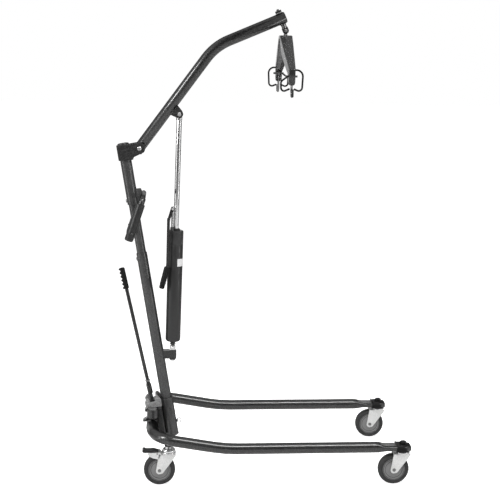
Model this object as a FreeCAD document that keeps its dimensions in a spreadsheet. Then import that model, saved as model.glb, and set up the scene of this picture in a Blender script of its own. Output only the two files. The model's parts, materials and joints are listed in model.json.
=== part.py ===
"""Patient lift hoist: hydraulic floor crane with a spreading caster base.

Millimetres, +Z up, +X towards the front casters, +Y to the left of a person who pushes the lift.
The origin is on the floor, in the middle of the lift's outer box.
Heights and fore-and-aft places in the sheet are measured from the floor and from the rear
caster stems; origin_shift moves the finished pieces so that the outer box is centred.
"""
import FreeCAD, Part
import math
import os
import re
import Sketcher
from FreeCAD import Placement, Rotation, Vector

DIMENSIONS = {
    # frame
    "origin_shift": 388,
    # base legs
    "leg_diameter": 44.45, "leg_wall": 2.1, "leg_height": 154, "leg_half_track": 277,
    "leg_front_end": 862, "leg_knee_place": 227, "leg_knee_radius": 580, "leg_corner_place": -52,
    "leg_corner_height": 202.5, "leg_corner_radius": 88, "leg_flat_start": 922,
    "leg_flat_end": 982, "leg_flat_thickness": 21, "leg_flat_width": 57.8,
    "pivot_place": -67, "pivot_half_track": 50, "pivot_pin_radius": 12, "pivot_height": 183,
    "hub_radius": 23, "hub_bottom": 160.5, "hub_top": 205.5, "hub_arm": 30, "hub_arm_thickness": 6,
    "rear_boss_radius": 17, "running_clearance": 0.05,
    # casters
    "rear_stem_place": 1, "rear_stem_track": 252, "front_stem_place": 953, "caster_trail": 37,
    "wheel_radius": 63.5, "tyre_width": 32, "tyre_bead_radius": 45, "tyre_edge": 5,
    "axle_radius": 4, "fork_gap": 38, "fork_plate": 3, "fork_top": 132, "race_radius": 29,
    "race_top": 142.5, "stem_radius": 6, "fork_eye_radius": 13.5, "pedal_width": 34,
    "pedal_pivot_back": 46, "pedal_pivot_height": 136,
    # mast, measured along its leaning axis from the foot
    "mast_foot_place": 17, "mast_foot_height": 119, "mast_lean": 9.3, "socket_radius": 27,
    "socket_length": 168, "mast_radius": 22.2, "mast_wall": 2, "mast_lower_top": 798,
    "inner_radius": 19.05, "inner_wall": 2.4, "inner_bottom": 640, "inner_top": 1200,
    "sleeve_radius": 23, "sleeve_bottom": 1003, "sleeve_top": 1249, "screw_radius": 4,
    "upper_screw_place": 1020, "lower_screw_place": 775, "lock_pin_place": 57, "lock_pin_radius": 5,
    # base carrier behind the socket and the leg spreader
    "carrier_depth": 26, "carrier_width": 64, "carrier_bottom": 14, "carrier_top": 130,
    "beam_bottom": 216, "barrel_bottom": 210.5, "barrel_top": 250, "gate_plate": 3,
    "gate_length": 75, "gate_half_width": 36, "gate_top": 302, "lever_pivot_height": 262,
    "lever_lean": 12.3, "lever_length": 592, "lever_rod_radius": 7.5, "lever_foot": 206,
    "shift_bar_bottom": 206, "shift_bar_thickness": 4, "shift_pin_radius": 5,
    # push handle
    "handle_place": -104, "handle_height": 1146, "handle_half_width": 95, "handle_bar_radius": 11,
    "handle_end_place": -160, "handle_end_height": 978, "handle_bend_radius": 26,
    "handle_grip_radius": 18, "handle_grip_length": 150,
    # boom
    "boom_pivot_place": -119, "boom_pivot_height": 1339, "boom_low_angle": 53.5,
    "boom_high_angle": 23, "boom_low_length": 510, "boom_high_length": 305, "boom_tail": 18,
    "boom_bend_radius": 220, "boom_radius": 22.2, "boom_wall": 2.2, "boom_bush_radius": 9.5,
    "boom_bolt_radius": 6, "head_half_width": 29, "head_half_gap": 24.6, "head_nose_radius": 24,
    "lug_place": 206.7, "lug_drop": 47.3, "lug_radius": 15, "lug_half_gap": 12, "lug_plate": 5,
    "barrel_back": 19, "barrel_radius": 10.5, "barrel_rise": 25, "barrel_drop": 50,
    "fork_slot": 8, "hanger_pin_radius": 4,
    # pump, measured along its own axis from the foot pin
    "pump_foot_place": 17, "pump_foot_height": 503, "pump_tilt": 1.47, "pump_length": 974.3,
    "pump_radius": 31.3, "pump_bore": 26, "pump_bottom": 27, "pump_top": 498,
    "pump_head_bottom": 455, "rod_radius": 11, "rod_eye_radius": 13, "rod_eye_width": 20,
    "piston_bottom": 405, "piston_length": 35, "foot_pin_radius": 5, "plunger_x": -16,
    "plunger_y": -16, "plunger_radius": 5, "plunger_pin_height": 592, "knob_x": -6, "knob_y": 20,
    "pump_grip_gap": 8, "pump_grip_radius": 11.5,
    # hanger and sling cradle
    "hanger_drop": 19, "cradle_half_span": 277, "cradle_rise": 127, "cradle_end": 63,
    "cradle_half_top": 25, "cradle_half_end": 12, "cradle_plate": 3.5, "cradle_lip": 32,
    "cradle_flare": 4, "wire_radius": 3.2, "hook_radius": 4.5, "hook_bolt_radius": 4,
    "hook_bolt_inset": 19, "hook_bolt_drop": 29,
}
FASTENER_SIDES = 6

doc = FreeCAD.newDocument("patient_lift_hoist")
sheet = doc.addObject("Spreadsheet::Sheet", "dims")
for row, (alias, number) in enumerate(DIMENSIONS.items(), 1):
    sheet.set(f"A{row}", alias)
    sheet.set(f"B{row}", str(number))
    sheet.setAlias(f"B{row}", alias)
doc.recompute()

AXIS_TURNS = {
    "X": Rotation(Vector(0, 1, 0), 90),
    "Y": Rotation(Vector(1, 0, 0), -90),
    "Z": Rotation(),
}
parts = {}


# ---------------------------------------------------------------- helpers

def linked(text):
    """Give each sheet name in a formula its sheet prefix."""
    return re.sub(r"[a-z_]+", lambda m: "dims." + m[0] if m[0] in DIMENSIONS else m[0], str(text))


def value(text):
    """The number that a formula of sheet names gives."""
    return float(sheet.evalExpression(linked(text)))


def point(x, y, z):
    return Vector(value(x), value(y), value(z))


def bind(item, **formulas):
    for name, text in formulas.items():
        item.setExpression(name, linked(text))
    return item


def cylinder(radius, length, base=(0, 0, 0), axis="Z"):
    item = bind(doc.addObject("Part::Cylinder", "Cylinder"), Radius=radius, Height=length)
    item.Placement = Placement(point(*base), AXIS_TURNS[axis])
    return item


def cone(radius_1, radius_2, length, base=(0, 0, 0), axis="Z"):
    item = doc.addObject("Part::Cone", "Cone")
    bind(item, Radius1=radius_1, Radius2=radius_2, Height=length)
    item.Placement = Placement(point(*base), AXIS_TURNS[axis])
    return item


def ball(radius, centre):
    item = bind(doc.addObject("Part::Sphere", "Sphere"), Radius=radius)
    item.Placement = Placement(point(*centre), Rotation())
    return item


def ring(radius, wire, centre, axis="Z"):
    item = bind(doc.addObject("Part::Torus", "Torus"), Radius1=radius, Radius2=wire)
    item.Placement = Placement(point(*centre), AXIS_TURNS[axis])
    return item


def hexagon(circumradius, length, base=(0, 0, 0), axis="Z"):
    item = doc.addObject("Part::Prism", "Prism")
    item.Polygon = FASTENER_SIDES
    bind(item, Circumradius=circumradius, Height=length)
    item.Placement = Placement(point(*base), AXIS_TURNS[axis])
    return item


def box(length, width, height, base):
    item = bind(doc.addObject("Part::Box", "Box"), Length=length, Width=width, Height=height)
    item.Placement = Placement(point(*base), Rotation())
    return item


def middle_box(length, width, height, x, z):
    """A box that is centred across the lift, from x forwards and from z upwards."""
    return box(length, width, height, (x, f"-({width}) / 2", z))


def fuse(*items):
    if len(items) == 1:
        return items[0]
    item = doc.addObject("Part::MultiFuse", "Fuse")
    item.Shapes = list(items)
    item.Refine = True
    return item


def cut(base, *tools):
    item = doc.addObject("Part::Cut", "Cut")
    item.Base = base
    item.Tool = fuse(*tools)
    item.Refine = True
    return item


def common(first, second):
    item = doc.addObject("Part::Common", "Common")
    item.Base = first
    item.Tool = second
    return item


def mirrored(source):
    """The same item on the other side of the lift."""
    item = doc.addObject("Part::Mirroring", "Mirror")
    item.Source = source
    item.Normal = Vector(0, 1, 0)
    return item


def moved(item, place):
    item.Placement = place.multiply(item.Placement)
    return item


def new_body():
    return doc.addObject("PartDesign::Body", "Body")


def sketch_on(body, role):
    sketch = body.newObject("Sketcher::SketchObject", "Sketch")
    plane = next(f for f in body.Origin.OriginFeatures if f.Role == role)
    sketch.AttachmentSupport = [(plane, "")]
    sketch.MapMode = "FlatFace"
    return sketch


def draw_outline(sketch, corners):
    """A closed outline whose corners are bound to formulas."""
    spots = [(value(x), value(y)) for x, y in corners]
    count = len(corners)
    for i in range(count):
        start, end = spots[i], spots[(i + 1) % count]
        sketch.addGeometry(Part.LineSegment(Vector(*start, 0), Vector(*end, 0)), False)
    for i in range(count):
        sketch.addConstraint(Sketcher.Constraint("Coincident", i, 2, (i + 1) % count, 1))
        for kind, spot, text in zip(("DistanceX", "DistanceY"), spots[i], corners[i]):
            number = sketch.addConstraint(Sketcher.Constraint(kind, -1, 1, i, 1, spot))
            sketch.setExpression(f"Constraints[{number}]", linked(text))


def turned(corners):
    """A solid of revolution about Z; corners are radius and height formulas."""
    body = new_body()
    sketch = sketch_on(body, "XZ_Plane")
    draw_outline(sketch, corners)
    feature = body.newObject("PartDesign::Revolution", "Revolution")
    feature.Profile = sketch
    feature.ReferenceAxis = (sketch, ["V_Axis"])
    feature.Angle = 360
    return body


def side_plate(corners, width, role="XZ_Plane"):
    """An outline seen from the side, padded equally to both sides of its plane."""
    body = new_body()
    sketch = sketch_on(body, role)
    draw_outline(sketch, corners)
    feature = body.newObject("PartDesign::Pad", "Pad")
    feature.Profile = sketch
    feature.Midplane = True
    bind(feature, Length=width)
    return body


def bent_path(corners, radii):
    """A wire of straight runs joined by tangent arcs; radii are for the inner corners."""
    spots = [point(*corner) for corner in corners]
    edges = []
    start = spots[0]
    for before, corner, after, radius in zip(spots, spots[1:], spots[2:], radii):
        arrive = (corner - before).normalize()
        leave = (after - corner).normalize()
        turn = arrive.getAngle(leave)
        trim = value(radius) * math.tan(turn / 2)
        first = corner - arrive * trim
        last = corner + leave * trim
        inward = (leave - arrive).normalize()
        centre = corner + inward * (value(radius) / math.cos(turn / 2))
        edges.append(Part.LineSegment(start, first).toShape())
        edges.append(Part.Arc(first, centre - inward * value(radius), last).toShape())
        start = last
    edges.append(Part.LineSegment(start, spots[-1]).toShape())
    path = doc.addObject("Part::Feature", "Path")
    path.Shape = Part.Wire(edges)
    return path


def swept(path, radius):
    """A round bar of the given radius along a path."""
    edges = path.Shape.Edges
    start = edges[0].valueAt(edges[0].FirstParameter)
    heading = edges[0].tangentAt(edges[0].FirstParameter)
    circle = bind(doc.addObject("Part::Circle", "Circle"), Radius=radius)
    circle.Placement = Placement(start, Rotation(Vector(0, 0, 1), heading))
    item = doc.addObject("Part::Sweep", "Sweep")
    item.Sections = [circle]
    item.Spine = (path, [f"Edge{i}" for i in range(1, len(edges) + 1)])
    item.Solid = True
    item.Frenet = False
    return item


def keep(label, item, place=Placement()):
    """Name a finished piece and move it from the stem frame to the part's own frame."""
    centred = Placement(point("-origin_shift", 0, 0), Rotation())
    item.Placement = centred.multiply(place).multiply(item.Placement)
    item.Label = label
    parts[label] = item


# ---------------------------------------------------------------- frames of the leaning pieces

mast_frame = Placement(
    point("mast_foot_place", 0, "mast_foot_height"), Rotation(Vector(0, 1, 0), -value("mast_lean"))
)
pump_frame = Placement(
    point("pump_foot_place", 0, "pump_foot_height"), Rotation(Vector(0, 1, 0), value("pump_tilt"))
)
low_boom_frame = Placement(
    point("boom_pivot_place", 0, "boom_pivot_height"),
    Rotation(Vector(0, 1, 0), -value("boom_low_angle")),
)
boom_elbow = low_boom_frame.multVec(point("boom_low_length", 0, 0))
high_boom_frame = Placement(boom_elbow, Rotation(Vector(0, 1, 0), -value("boom_high_angle")))
hanger_pin = high_boom_frame.multVec(point("boom_high_length - barrel_back", 0, "-barrel_drop"))


# ---------------------------------------------------------------- casters

def caster(name, stem_place, stem_track, has_brake):
    """Swivel fork, tyre, wheel centre and axle bolt of one caster."""
    place = Placement(point(stem_place, stem_track, 0), Rotation())
    axle = ("-caster_trail", 0, "wheel_radius")
    upright = Placement(point(*axle), AXIS_TURNS["Y"])

    tyre = turned([
        ("tyre_bead_radius", "-tyre_width / 2 + 2"),
        ("tyre_bead_radius + 3", "-tyre_width / 2"),
        ("tyre_bead_radius + 6", "-tyre_width / 2"),
        ("tyre_bead_radius + 7", "-tyre_width / 2 + 1.5"),
        ("tyre_bead_radius + 8", "-tyre_width / 2"),
        ("wheel_radius - tyre_edge", "-tyre_width / 2"),
        ("wheel_radius", "-tyre_width / 2 + tyre_edge"),
        ("wheel_radius", "tyre_width / 2 - tyre_edge"),
        ("wheel_radius - tyre_edge", "tyre_width / 2"),
        ("tyre_bead_radius + 8", "tyre_width / 2"),
        ("tyre_bead_radius + 7", "tyre_width / 2 - 1.5"),
        ("tyre_bead_radius + 6", "tyre_width / 2"),
        ("tyre_bead_radius + 3", "tyre_width / 2"),
        ("tyre_bead_radius", "tyre_width / 2 - 2"),
    ])
    keep(f"{name}_tyre", tyre, place.multiply(upright))

    bore = "axle_radius + running_clearance"
    hub = turned([
        (bore, "-fork_gap / 2 + 1"), ("12", "-fork_gap / 2 + 1"), ("14", "-13"),
        ("tyre_bead_radius - 9", "-12"), ("tyre_bead_radius - 7", "-14"),
        ("tyre_bead_radius", "-tyre_width / 2 + 2"), ("tyre_bead_radius", "tyre_width / 2 - 2"),
        ("tyre_bead_radius - 7", "14"), ("tyre_bead_radius - 9", "12"), ("14", "13"),
        ("12", "fork_gap / 2 - 1"), (bore, "fork_gap / 2 - 1"),
    ])
    keep(f"{name}_wheel_centre", hub, place.multiply(upright))

    outer = "fork_gap + 2 * fork_plate"
    cheeks = [
        side_plate([
            ("race_radius", "fork_top"), ("-caster_trail - 2", "fork_top"),
            ("-caster_trail - 5", "fork_top - 22"),
            ("-caster_trail - fork_eye_radius", "wheel_radius"),
            ("-caster_trail + fork_eye_radius * 0.8", "wheel_radius - fork_eye_radius * 0.6"),
            ("race_radius", "fork_top - 12"),
        ], outer),
        moved(cylinder("fork_eye_radius", outer, axis="Y"),
              Placement(point("-caster_trail", f"-({outer}) / 2", "wheel_radius"), Rotation())),
    ]
    if has_brake:
        cheeks.append(side_plate([
            ("-caster_trail + 4", "fork_top"), ("-caster_trail + 4", "pedal_pivot_height + 5"),
            ("-pedal_pivot_back - 8", "pedal_pivot_height + 3"), ("-86", "pedal_pivot_height"),
            ("-80", "fork_top"), ("-60", "fork_top - 12"), ("-caster_trail - 3", "fork_top - 20"),
        ], outer))
    race = turned([
        ("0", "fork_top - 2"), ("race_radius - 2", "fork_top - 2"), ("race_radius", "fork_top"),
        ("race_radius", "fork_top + 5"), ("race_radius - 6", "race_top - 2.5"),
        ("race_radius - 12", "race_top"), ("0", "race_top"),
    ])
    tools = [
        box("160", "fork_gap", "fork_top - fork_plate", ("-120", "-fork_gap / 2", 0)),
        cylinder("axle_radius", outer, ("-caster_trail", f"-({outer}) / 2", "wheel_radius"), "Y"),
    ]
    if has_brake:
        tools.append(box("54", "fork_gap", "40", ("-90", "-fork_gap / 2", "fork_top - 5")))
        tools.append(cylinder("3", outer, ("-pedal_pivot_back", f"-({outer}) / 2",
                                           "pedal_pivot_height"), "Y"))
    swivel_bore = cylinder("stem_radius + running_clearance", "40", (0, 0, "fork_top - 10"))
    fork = cut(fuse(cut(fuse(*cheeks), *tools), race), swivel_bore)
    keep(f"{name}_fork", fork, place)

    axle_bolt = fuse(
        cylinder("axle_radius", "fork_gap + 2 * fork_plate + 2", ("-caster_trail",
                 "-fork_gap / 2 - fork_plate - 1", "wheel_radius"), "Y"),
        hexagon("7.5", "5", ("-caster_trail", "-fork_gap / 2 - fork_plate - 5", "wheel_radius"), "Y"),
        hexagon("7.5", "5.5", ("-caster_trail", "fork_gap / 2 + fork_plate", "wheel_radius"), "Y"),
    )
    keep(f"{name}_axle_bolt", axle_bolt, place)

    if has_brake:
        pedal = side_plate([
            ("-pedal_pivot_back + 6", "pedal_pivot_height"),
            ("-pedal_pivot_back + 2", "pedal_pivot_height + 7"),
            ("-60", "pedal_pivot_height + 12"), ("-92", "pedal_pivot_height + 11"),
            ("-100", "pedal_pivot_height + 15"), ("-106", "pedal_pivot_height + 14"),
            ("-106", "pedal_pivot_height + 4"), ("-96", "pedal_pivot_height + 1"),
            ("-60", "pedal_pivot_height + 2"), ("-pedal_pivot_back - 4", "pedal_pivot_height - 5"),
            ("-pedal_pivot_back + 2", "pedal_pivot_height - 6"),
        ], "pedal_width")
        pedal_bore = cylinder("3 + running_clearance", "pedal_width",
                              ("-pedal_pivot_back", "-pedal_width / 2", "pedal_pivot_height"), "Y")
        keep(f"{name}_brake_pedal", cut(pedal, pedal_bore), place)


caster("left_front", "front_stem_place", "leg_half_track", False)
caster("right_front", "front_stem_place", "-leg_half_track", False)
caster("left_rear", "rear_stem_place", "rear_stem_track", True)
caster("right_rear", "rear_stem_place", "-rear_stem_track", True)


def caster_stem(place, track, top, collar_top):
    """A swivel stem with its head under the race and its collar under the leg."""
    return fuse(
        cylinder("stem_radius", f"{top} - 124", (place, track, 124)),
        cylinder("11", "4", (place, track, 124)),
        cone("18", "13", f"{collar_top} - race_top - 0.3", (place, track, "race_top + 0.3")),
    )


for side, sign in (("left", ""), ("right", "-")):
    front = caster_stem("front_stem_place", f"{sign}leg_half_track", "170", "143.5")
    nut = hexagon("11", "6", ("front_stem_place", f"{sign}leg_half_track", "164.5"))
    rear = caster_stem("rear_stem_place", f"{sign}rear_stem_track", "182", "160")
    keep(f"{side}_caster_stems", fuse(front, nut, rear))


# ---------------------------------------------------------------- legs

def leg():
    """The left leg: hub at the pivot, corner, knee, and a flattened front end."""
    centre_line = bent_path([
        ("pivot_place", "pivot_half_track", "pivot_height"),
        ("leg_corner_place", "leg_half_track", "leg_corner_height"),
        ("leg_knee_place", "leg_half_track", "leg_height"),
        ("leg_front_end", "leg_half_track", "leg_height"),
    ], ["leg_corner_radius", "leg_knee_radius"])

    def end_section(x, shrink, flat):
        """A closed outline of two side arcs and, above and below, two arcs or two flats."""
        centre = Vector(value(x), value("leg_half_track"), value("leg_height"))
        if flat:
            rise = value("leg_flat_thickness") / 2 - shrink
            spread = value("leg_flat_width") / 2 - shrink - rise
            reach, crown = spread + rise, rise
        else:
            reach = crown = value("leg_diameter") / 2 - shrink
            rise = spread = reach * math.sqrt(0.5)
        edges = []
        for sign in (1, -1):
            low = centre + Vector(0, sign * spread, -sign * rise)
            high = centre + Vector(0, sign * spread, sign * rise)
            across = centre + Vector(0, -sign * spread, sign * rise)
            edges.append(Part.Arc(low, centre + Vector(0, sign * reach, 0), high).toShape())
            if flat:
                edges.append(Part.LineSegment(high, across).toShape())
            else:
                edges.append(Part.Arc(high, centre + Vector(0, 0, sign * crown), across).toShape())
        return Part.Wire(edges)

    def flattened_end(shrink):
        """The tube's front end, squeezed from round to a flat tab."""
        round_end = end_section("leg_front_end", shrink, False)
        tab_start = end_section("leg_flat_start", shrink, True)
        tab_end = end_section("leg_flat_end", shrink, True)
        taper = Part.makeLoft([round_end, tab_start], True, True)
        tab = Part.makeLoft([tab_start, tab_end], True, True)
        item = doc.addObject("Part::Feature", "FlattenedEnd")
        item.Shape = taper.fuse(tab)
        return item

    hub_height = "hub_top - hub_bottom"
    solid = fuse(
        swept(centre_line, "leg_diameter / 2"),
        flattened_end(0),
        cylinder("hub_radius", hub_height, ("pivot_place", "pivot_half_track", "hub_bottom")),
        cylinder("rear_boss_radius", "30", ("rear_stem_place", "rear_stem_track", "160.2")),
    )
    hollow = [
        swept(centre_line, "leg_diameter / 2 - leg_wall"),
        flattened_end(value("leg_wall")),
        cylinder("pivot_pin_radius + running_clearance", hub_height,
                 ("pivot_place", "pivot_half_track", "hub_bottom")),
        cylinder("hub_radius + 2", "20", ("pivot_place", "pivot_half_track", "hub_top")),
        cylinder("stem_radius", "22", ("rear_stem_place", "rear_stem_track", "160.2")),
        cylinder("stem_radius", "30", ("front_stem_place", "leg_half_track", "140")),
    ]
    return cut(solid, *hollow)


def hub_lever(reach):
    """A flat arm on a leg's hub, with a slot for one pin of the shift bar."""
    x = "pivot_place" if reach == "hub_arm" else "pivot_place - hub_arm - 10"
    bottom = "hub_top - 3 - hub_arm_thickness"
    plate = middle_box("hub_arm + 10", "18", "hub_arm_thickness", x, bottom)
    slot = middle_box("14", "2 * shift_pin_radius + 0.3", "hub_arm_thickness",
                      f"pivot_place + {reach} - 7", bottom)
    bore = cylinder("hub_radius - 2", "hub_arm_thickness", ("pivot_place", 0, bottom))
    return cut(plate, slot, bore)


def shifted(item, y):
    return moved(item, Placement(point(0, y, 0), Rotation()))


left_arm = shifted(hub_lever("hub_arm"), "pivot_half_track")
right_arm = shifted(hub_lever("-hub_arm"), "-pivot_half_track")
leg_tube = leg()
keep("left_leg", fuse(leg_tube, left_arm))
keep("right_leg", fuse(mirrored(leg_tube), right_arm))

for side, sign in (("left", ""), ("right", "-")):
    track = f"{sign}leg_half_track"
    shell = common(
        box("68", "66", "40", ("922", f"{track} - 33", "139.2")),
        cylinder("40", "40", ("948", track, "139.2")),
    )
    pocket = [
        box("60", "leg_flat_width + 0.2", "leg_flat_thickness + 0.2",
            ("922", f"{track} - leg_flat_width / 2 - 0.1", "leg_height - leg_flat_thickness / 2 - 0.1")),
        cylinder("13", "11", ("front_stem_place", track, "164")),
        cylinder("27", "4.6", ("front_stem_place", track, "139")),
    ]
    keep(f"{side}_leg_cap", cut(shell, *pocket))


# ---------------------------------------------------------------- spreader and base carrier

pivot_bolts = []
for sign in ("", "-"):
    spot = ("pivot_place", f"{sign}pivot_half_track")
    pivot_bolts.append(fuse(
        cylinder("pivot_pin_radius", "barrel_top - hub_bottom - 4", (*spot, "hub_bottom")),
        cylinder("pivot_pin_radius + 1.5", "barrel_bottom - hub_top - 0.4", (*spot, "hub_top + 0.2")),
        hexagon("18", "8", (*spot, "hub_bottom - 8.3")),
        cylinder("pivot_pin_radius", "0.4", (*spot, "hub_bottom - 0.4")),
    ))
keep("leg_pivot_bolts", fuse(*pivot_bolts))

shift_bar_body = side_plate([
    ("-hub_arm - 9", "-pivot_half_track"), ("-hub_arm", "-pivot_half_track - 9"),
    ("-hub_arm + 9", "-pivot_half_track"), ("hub_arm + 9", "pivot_half_track"),
    ("hub_arm", "pivot_half_track + 9"), ("hub_arm - 9", "pivot_half_track"),
], "shift_bar_thickness", "XY_Plane")
bar_middle = Placement(
    point("pivot_place", 0, "shift_bar_bottom + shift_bar_thickness / 2"), Rotation()
)
pin_bottom = "hub_top - 3 - hub_arm_thickness"
shift_bar = cut(
    fuse(
        moved(shift_bar_body, bar_middle),
        cylinder("shift_pin_radius", "shift_bar_bottom - hub_top + 11",
                 ("pivot_place + hub_arm", "pivot_half_track", pin_bottom)),
        cylinder("shift_pin_radius", "shift_bar_bottom - hub_top + 11",
                 ("pivot_place - hub_arm", "-pivot_half_track", pin_bottom)),
    ),
    middle_box("9", "9", "10", "pivot_place - 4.5", "shift_bar_bottom - 3"),
)
keep("shift_bar", shift_bar)

lever_place = Placement(
    point("pivot_place", 0, "lever_pivot_height"), Rotation(Vector(0, 1, 0), -value("lever_lean"))
)
lever_rod = moved(cylinder("lever_rod_radius", "lever_length - 4", (0, 0, 0)), lever_place)
lever_clevis = moved(fuse(
    cylinder("11", "34", (0, 0, "44")), cone("11", "7.5", "16", (0, 0, "78")),
), lever_place)
lever_foot = fuse(
    cylinder("6", "lever_pivot_height - lever_foot - 6", ("pivot_place", 0, "lever_foot + 6")),
    cylinder("3.6", "5", ("pivot_place", 0, "lever_foot + 3")),
    ball("4.2", ("pivot_place", 0, "lever_foot + 3")),
)
lever_eye = cylinder("11", "12", ("pivot_place - 6", 0, "lever_pivot_height"), "X")
lever_bore = cylinder("3 + running_clearance", "60", ("pivot_place - 30", 0, "lever_pivot_height"), "X")
keep("shift_lever", cut(fuse(lever_rod, lever_clevis, lever_foot, lever_eye), lever_bore))

grip_place = Placement(lever_place.multVec(point(0, 0, "lever_length - 88")), lever_place.Rotation)
grip_rings = [("lever_rod_radius", "0"), ("11", "0"), ("13", "3")]
for number in range(5):
    foot = 8 + 15 * number
    grip_rings += [("13", f"{foot}"), ("10.8", f"{foot + 4}"), ("10.8", f"{foot + 8}"), ("13", f"{foot + 12}")]
grip_rings += [("13", "84"), ("9", "91"), ("0", "92"), ("0", "84"), ("lever_rod_radius", "84")]
keep("shift_lever_grip", moved(turned(grip_rings), grip_place))

gate_back = "pivot_place - gate_length / 2 + 2"
gate_shell = middle_box("gate_length", "2 * gate_half_width", "gate_top - barrel_top", gate_back, "barrel_top")
gate_tools = [
    middle_box("gate_length", "2 * gate_half_width - 2 * gate_plate",
               "gate_top - barrel_top - 2 * gate_plate", gate_back, "barrel_top + gate_plate"),
    middle_box("26", "44", "60", "pivot_place - 22", "gate_top - 10"),
    middle_box("24", "30", "20", "pivot_place - 12", "barrel_top - 5"),
    middle_box("30", "2 * gate_half_width - 2 * gate_plate", "60", "pivot_place + 26", "barrel_top - 1"),
]
lug = "lever_pivot_height + 10 - barrel_top"
lever_lugs = [
    middle_box("gate_plate", "22", lug, "pivot_place - 16", "barrel_top"),
    middle_box("gate_plate", "22", lug, "pivot_place + 13", "barrel_top"),
]
lever_pin = cylinder("3", "36", ("pivot_place - 18", 0, "lever_pivot_height"), "X")
shift_gate = fuse(cut(gate_shell, *gate_tools), *lever_lugs, lever_pin)
keep("shift_gate", shift_gate)

barrels = [
    cylinder("hub_radius", "barrel_top - barrel_bottom", ("pivot_place", y, "barrel_bottom"))
    for y in ("pivot_half_track", "-pivot_half_track")
]
beam = middle_box("46", "2 * pivot_half_track", "barrel_top - beam_bottom - 4",
                  "pivot_place - 23", "beam_bottom")
carrier_box = moved(
    middle_box("socket_radius + carrier_depth", "carrier_width", "carrier_top - carrier_bottom",
               "-socket_radius - carrier_depth", "carrier_bottom"), mast_frame)
carrier_tools = [
    moved(cylinder("socket_radius", "300", (0, 0, "-30")), mast_frame),
    middle_box("30", "44", "60", "pivot_place - 15", "beam_bottom - 10"),
    cylinder("pivot_pin_radius", "60", ("pivot_place", "pivot_half_track", "barrel_bottom - 5")),
    cylinder("pivot_pin_radius", "60", ("pivot_place", "-pivot_half_track", "barrel_bottom - 5")),
    middle_box("74.5", "70", "28", "-110", "beam_bottom - 30"),
]
carrier = cut(fuse(*barrels, beam, carrier_box), *carrier_tools)
keep("base_carrier", carrier)


# ---------------------------------------------------------------- mast

def mast_tube(outer, inner, bottom, top):
    return cut(cylinder(outer, f"{top} - {bottom}", (0, 0, bottom)),
               cylinder(inner, f"{top} - {bottom}", (0, 0, bottom)))


lock_hole = ("lock_pin_radius", "60", ("-10", 0, "lock_pin_place"), "X")
socket = cut(mast_tube("socket_radius", "mast_radius", "0", "socket_length"), cylinder(*lock_hole))
keep("mast_socket", socket, mast_frame)

lower_screw_hole = ("screw_radius", "40", ("-45", 0, "lower_screw_place"), "X")
lower_tube = cut(mast_tube("mast_radius", "mast_radius - mast_wall", "3", "mast_lower_top"),
                 cylinder(*lock_hole), cylinder(*lower_screw_hole))
keep("lower_mast_tube", lower_tube, mast_frame)

upper_screw_hole = ("screw_radius", "40", ("-45", 0, "upper_screw_place"), "X")
inner_tube = cut(mast_tube("inner_radius", "inner_radius - inner_wall", "inner_bottom", "inner_top"),
                 cylinder(*upper_screw_hole), cylinder(*lower_screw_hole))
keep("inner_mast_tube", inner_tube, mast_frame)

sleeve = cut(mast_tube("sleeve_radius", "inner_radius", "sleeve_bottom", "sleeve_top"),
             cylinder(*upper_screw_hole))
keep("upper_mast_sleeve", sleeve, mast_frame)

cap = turned([("0", "sleeve_top"), ("sleeve_radius + 0.5", "sleeve_top"),
              ("sleeve_radius + 0.5", "sleeve_top + 3"), ("sleeve_radius - 3", "sleeve_top + 6"),
              ("0", "sleeve_top + 7")])
keep("mast_top_cap", cap, mast_frame)

screws = []
for place in ("upper_screw_place", "lower_screw_place"):
    wall = "sleeve_radius" if place == "upper_screw_place" else "mast_radius"
    screws.append(fuse(
        cylinder("screw_radius", "14", (f"-{wall} - 0.5", 0, place), "X"),
        hexagon("7", "4.5", (f"-{wall} - 4.6", 0, place), "X"),
    ))
keep("mast_screws", fuse(*screws), mast_frame)

lock_pin = fuse(
    cylinder("lock_pin_radius", "40", ("-8", 0, "lock_pin_place"), "X"),
    cylinder("6.5", "6", ("socket_radius + 0.5", 0, "lock_pin_place"), "X"),
    ring("9", "1.4", ("socket_radius + 12", 0, "lock_pin_place + 3"), "Y"),
)
keep("socket_lock_pin", lock_pin, mast_frame)

nose = ("boom_pivot_place", "boom_pivot_height")
head_width = "2 * head_half_width"
head_solid = fuse(
    side_plate([
        ("boom_pivot_place - 93", "boom_pivot_height + 13"),
        ("boom_pivot_place - 80", "boom_pivot_height - 52"),
        ("boom_pivot_place - 15", "boom_pivot_height - 45"),
        ("boom_pivot_place + head_nose_radius * 0.72", "boom_pivot_height - head_nose_radius * 0.69"),
        nose, ("boom_pivot_place - 2", "boom_pivot_height + head_nose_radius"),
    ], head_width),
    cylinder("head_nose_radius", head_width, (nose[0], "-head_half_width", nose[1]), "Y"),
)
head_tools = [
    moved(cylinder("sleeve_radius", "300", (0, 0, "sleeve_top - 200")), mast_frame),
    moved(cylinder("sleeve_radius + 0.5", "40", (0, 0, "sleeve_top")), mast_frame),
    moved(middle_box("160", "2 * head_half_gap", "300", 0, "sleeve_top - 150"), mast_frame),
    cylinder("boom_bolt_radius", head_width, (nose[0], "-head_half_width", nose[1]), "Y"),
]
keep("boom_head_bracket", cut(head_solid, *head_tools))

boom_bolt = fuse(
    cylinder("boom_bolt_radius", "head_half_width * 2 + 14", (nose[0], "-head_half_width - 2", nose[1]), "Y"),
    cylinder("9.5", "1.8", (nose[0], "-head_half_width - 1.9", nose[1]), "Y"),
    hexagon("10", "6.5", (nose[0], "-head_half_width - 8", nose[1]), "Y"),
    cylinder("10.5", "1.8", (nose[0], "head_half_width + 0.1", nose[1]), "Y"),
    hexagon("10", "9", (nose[0], "head_half_width + 1.9", nose[1]), "Y"),
)
keep("boom_pivot_bolt", boom_bolt)


# ---------------------------------------------------------------- push handle

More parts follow.
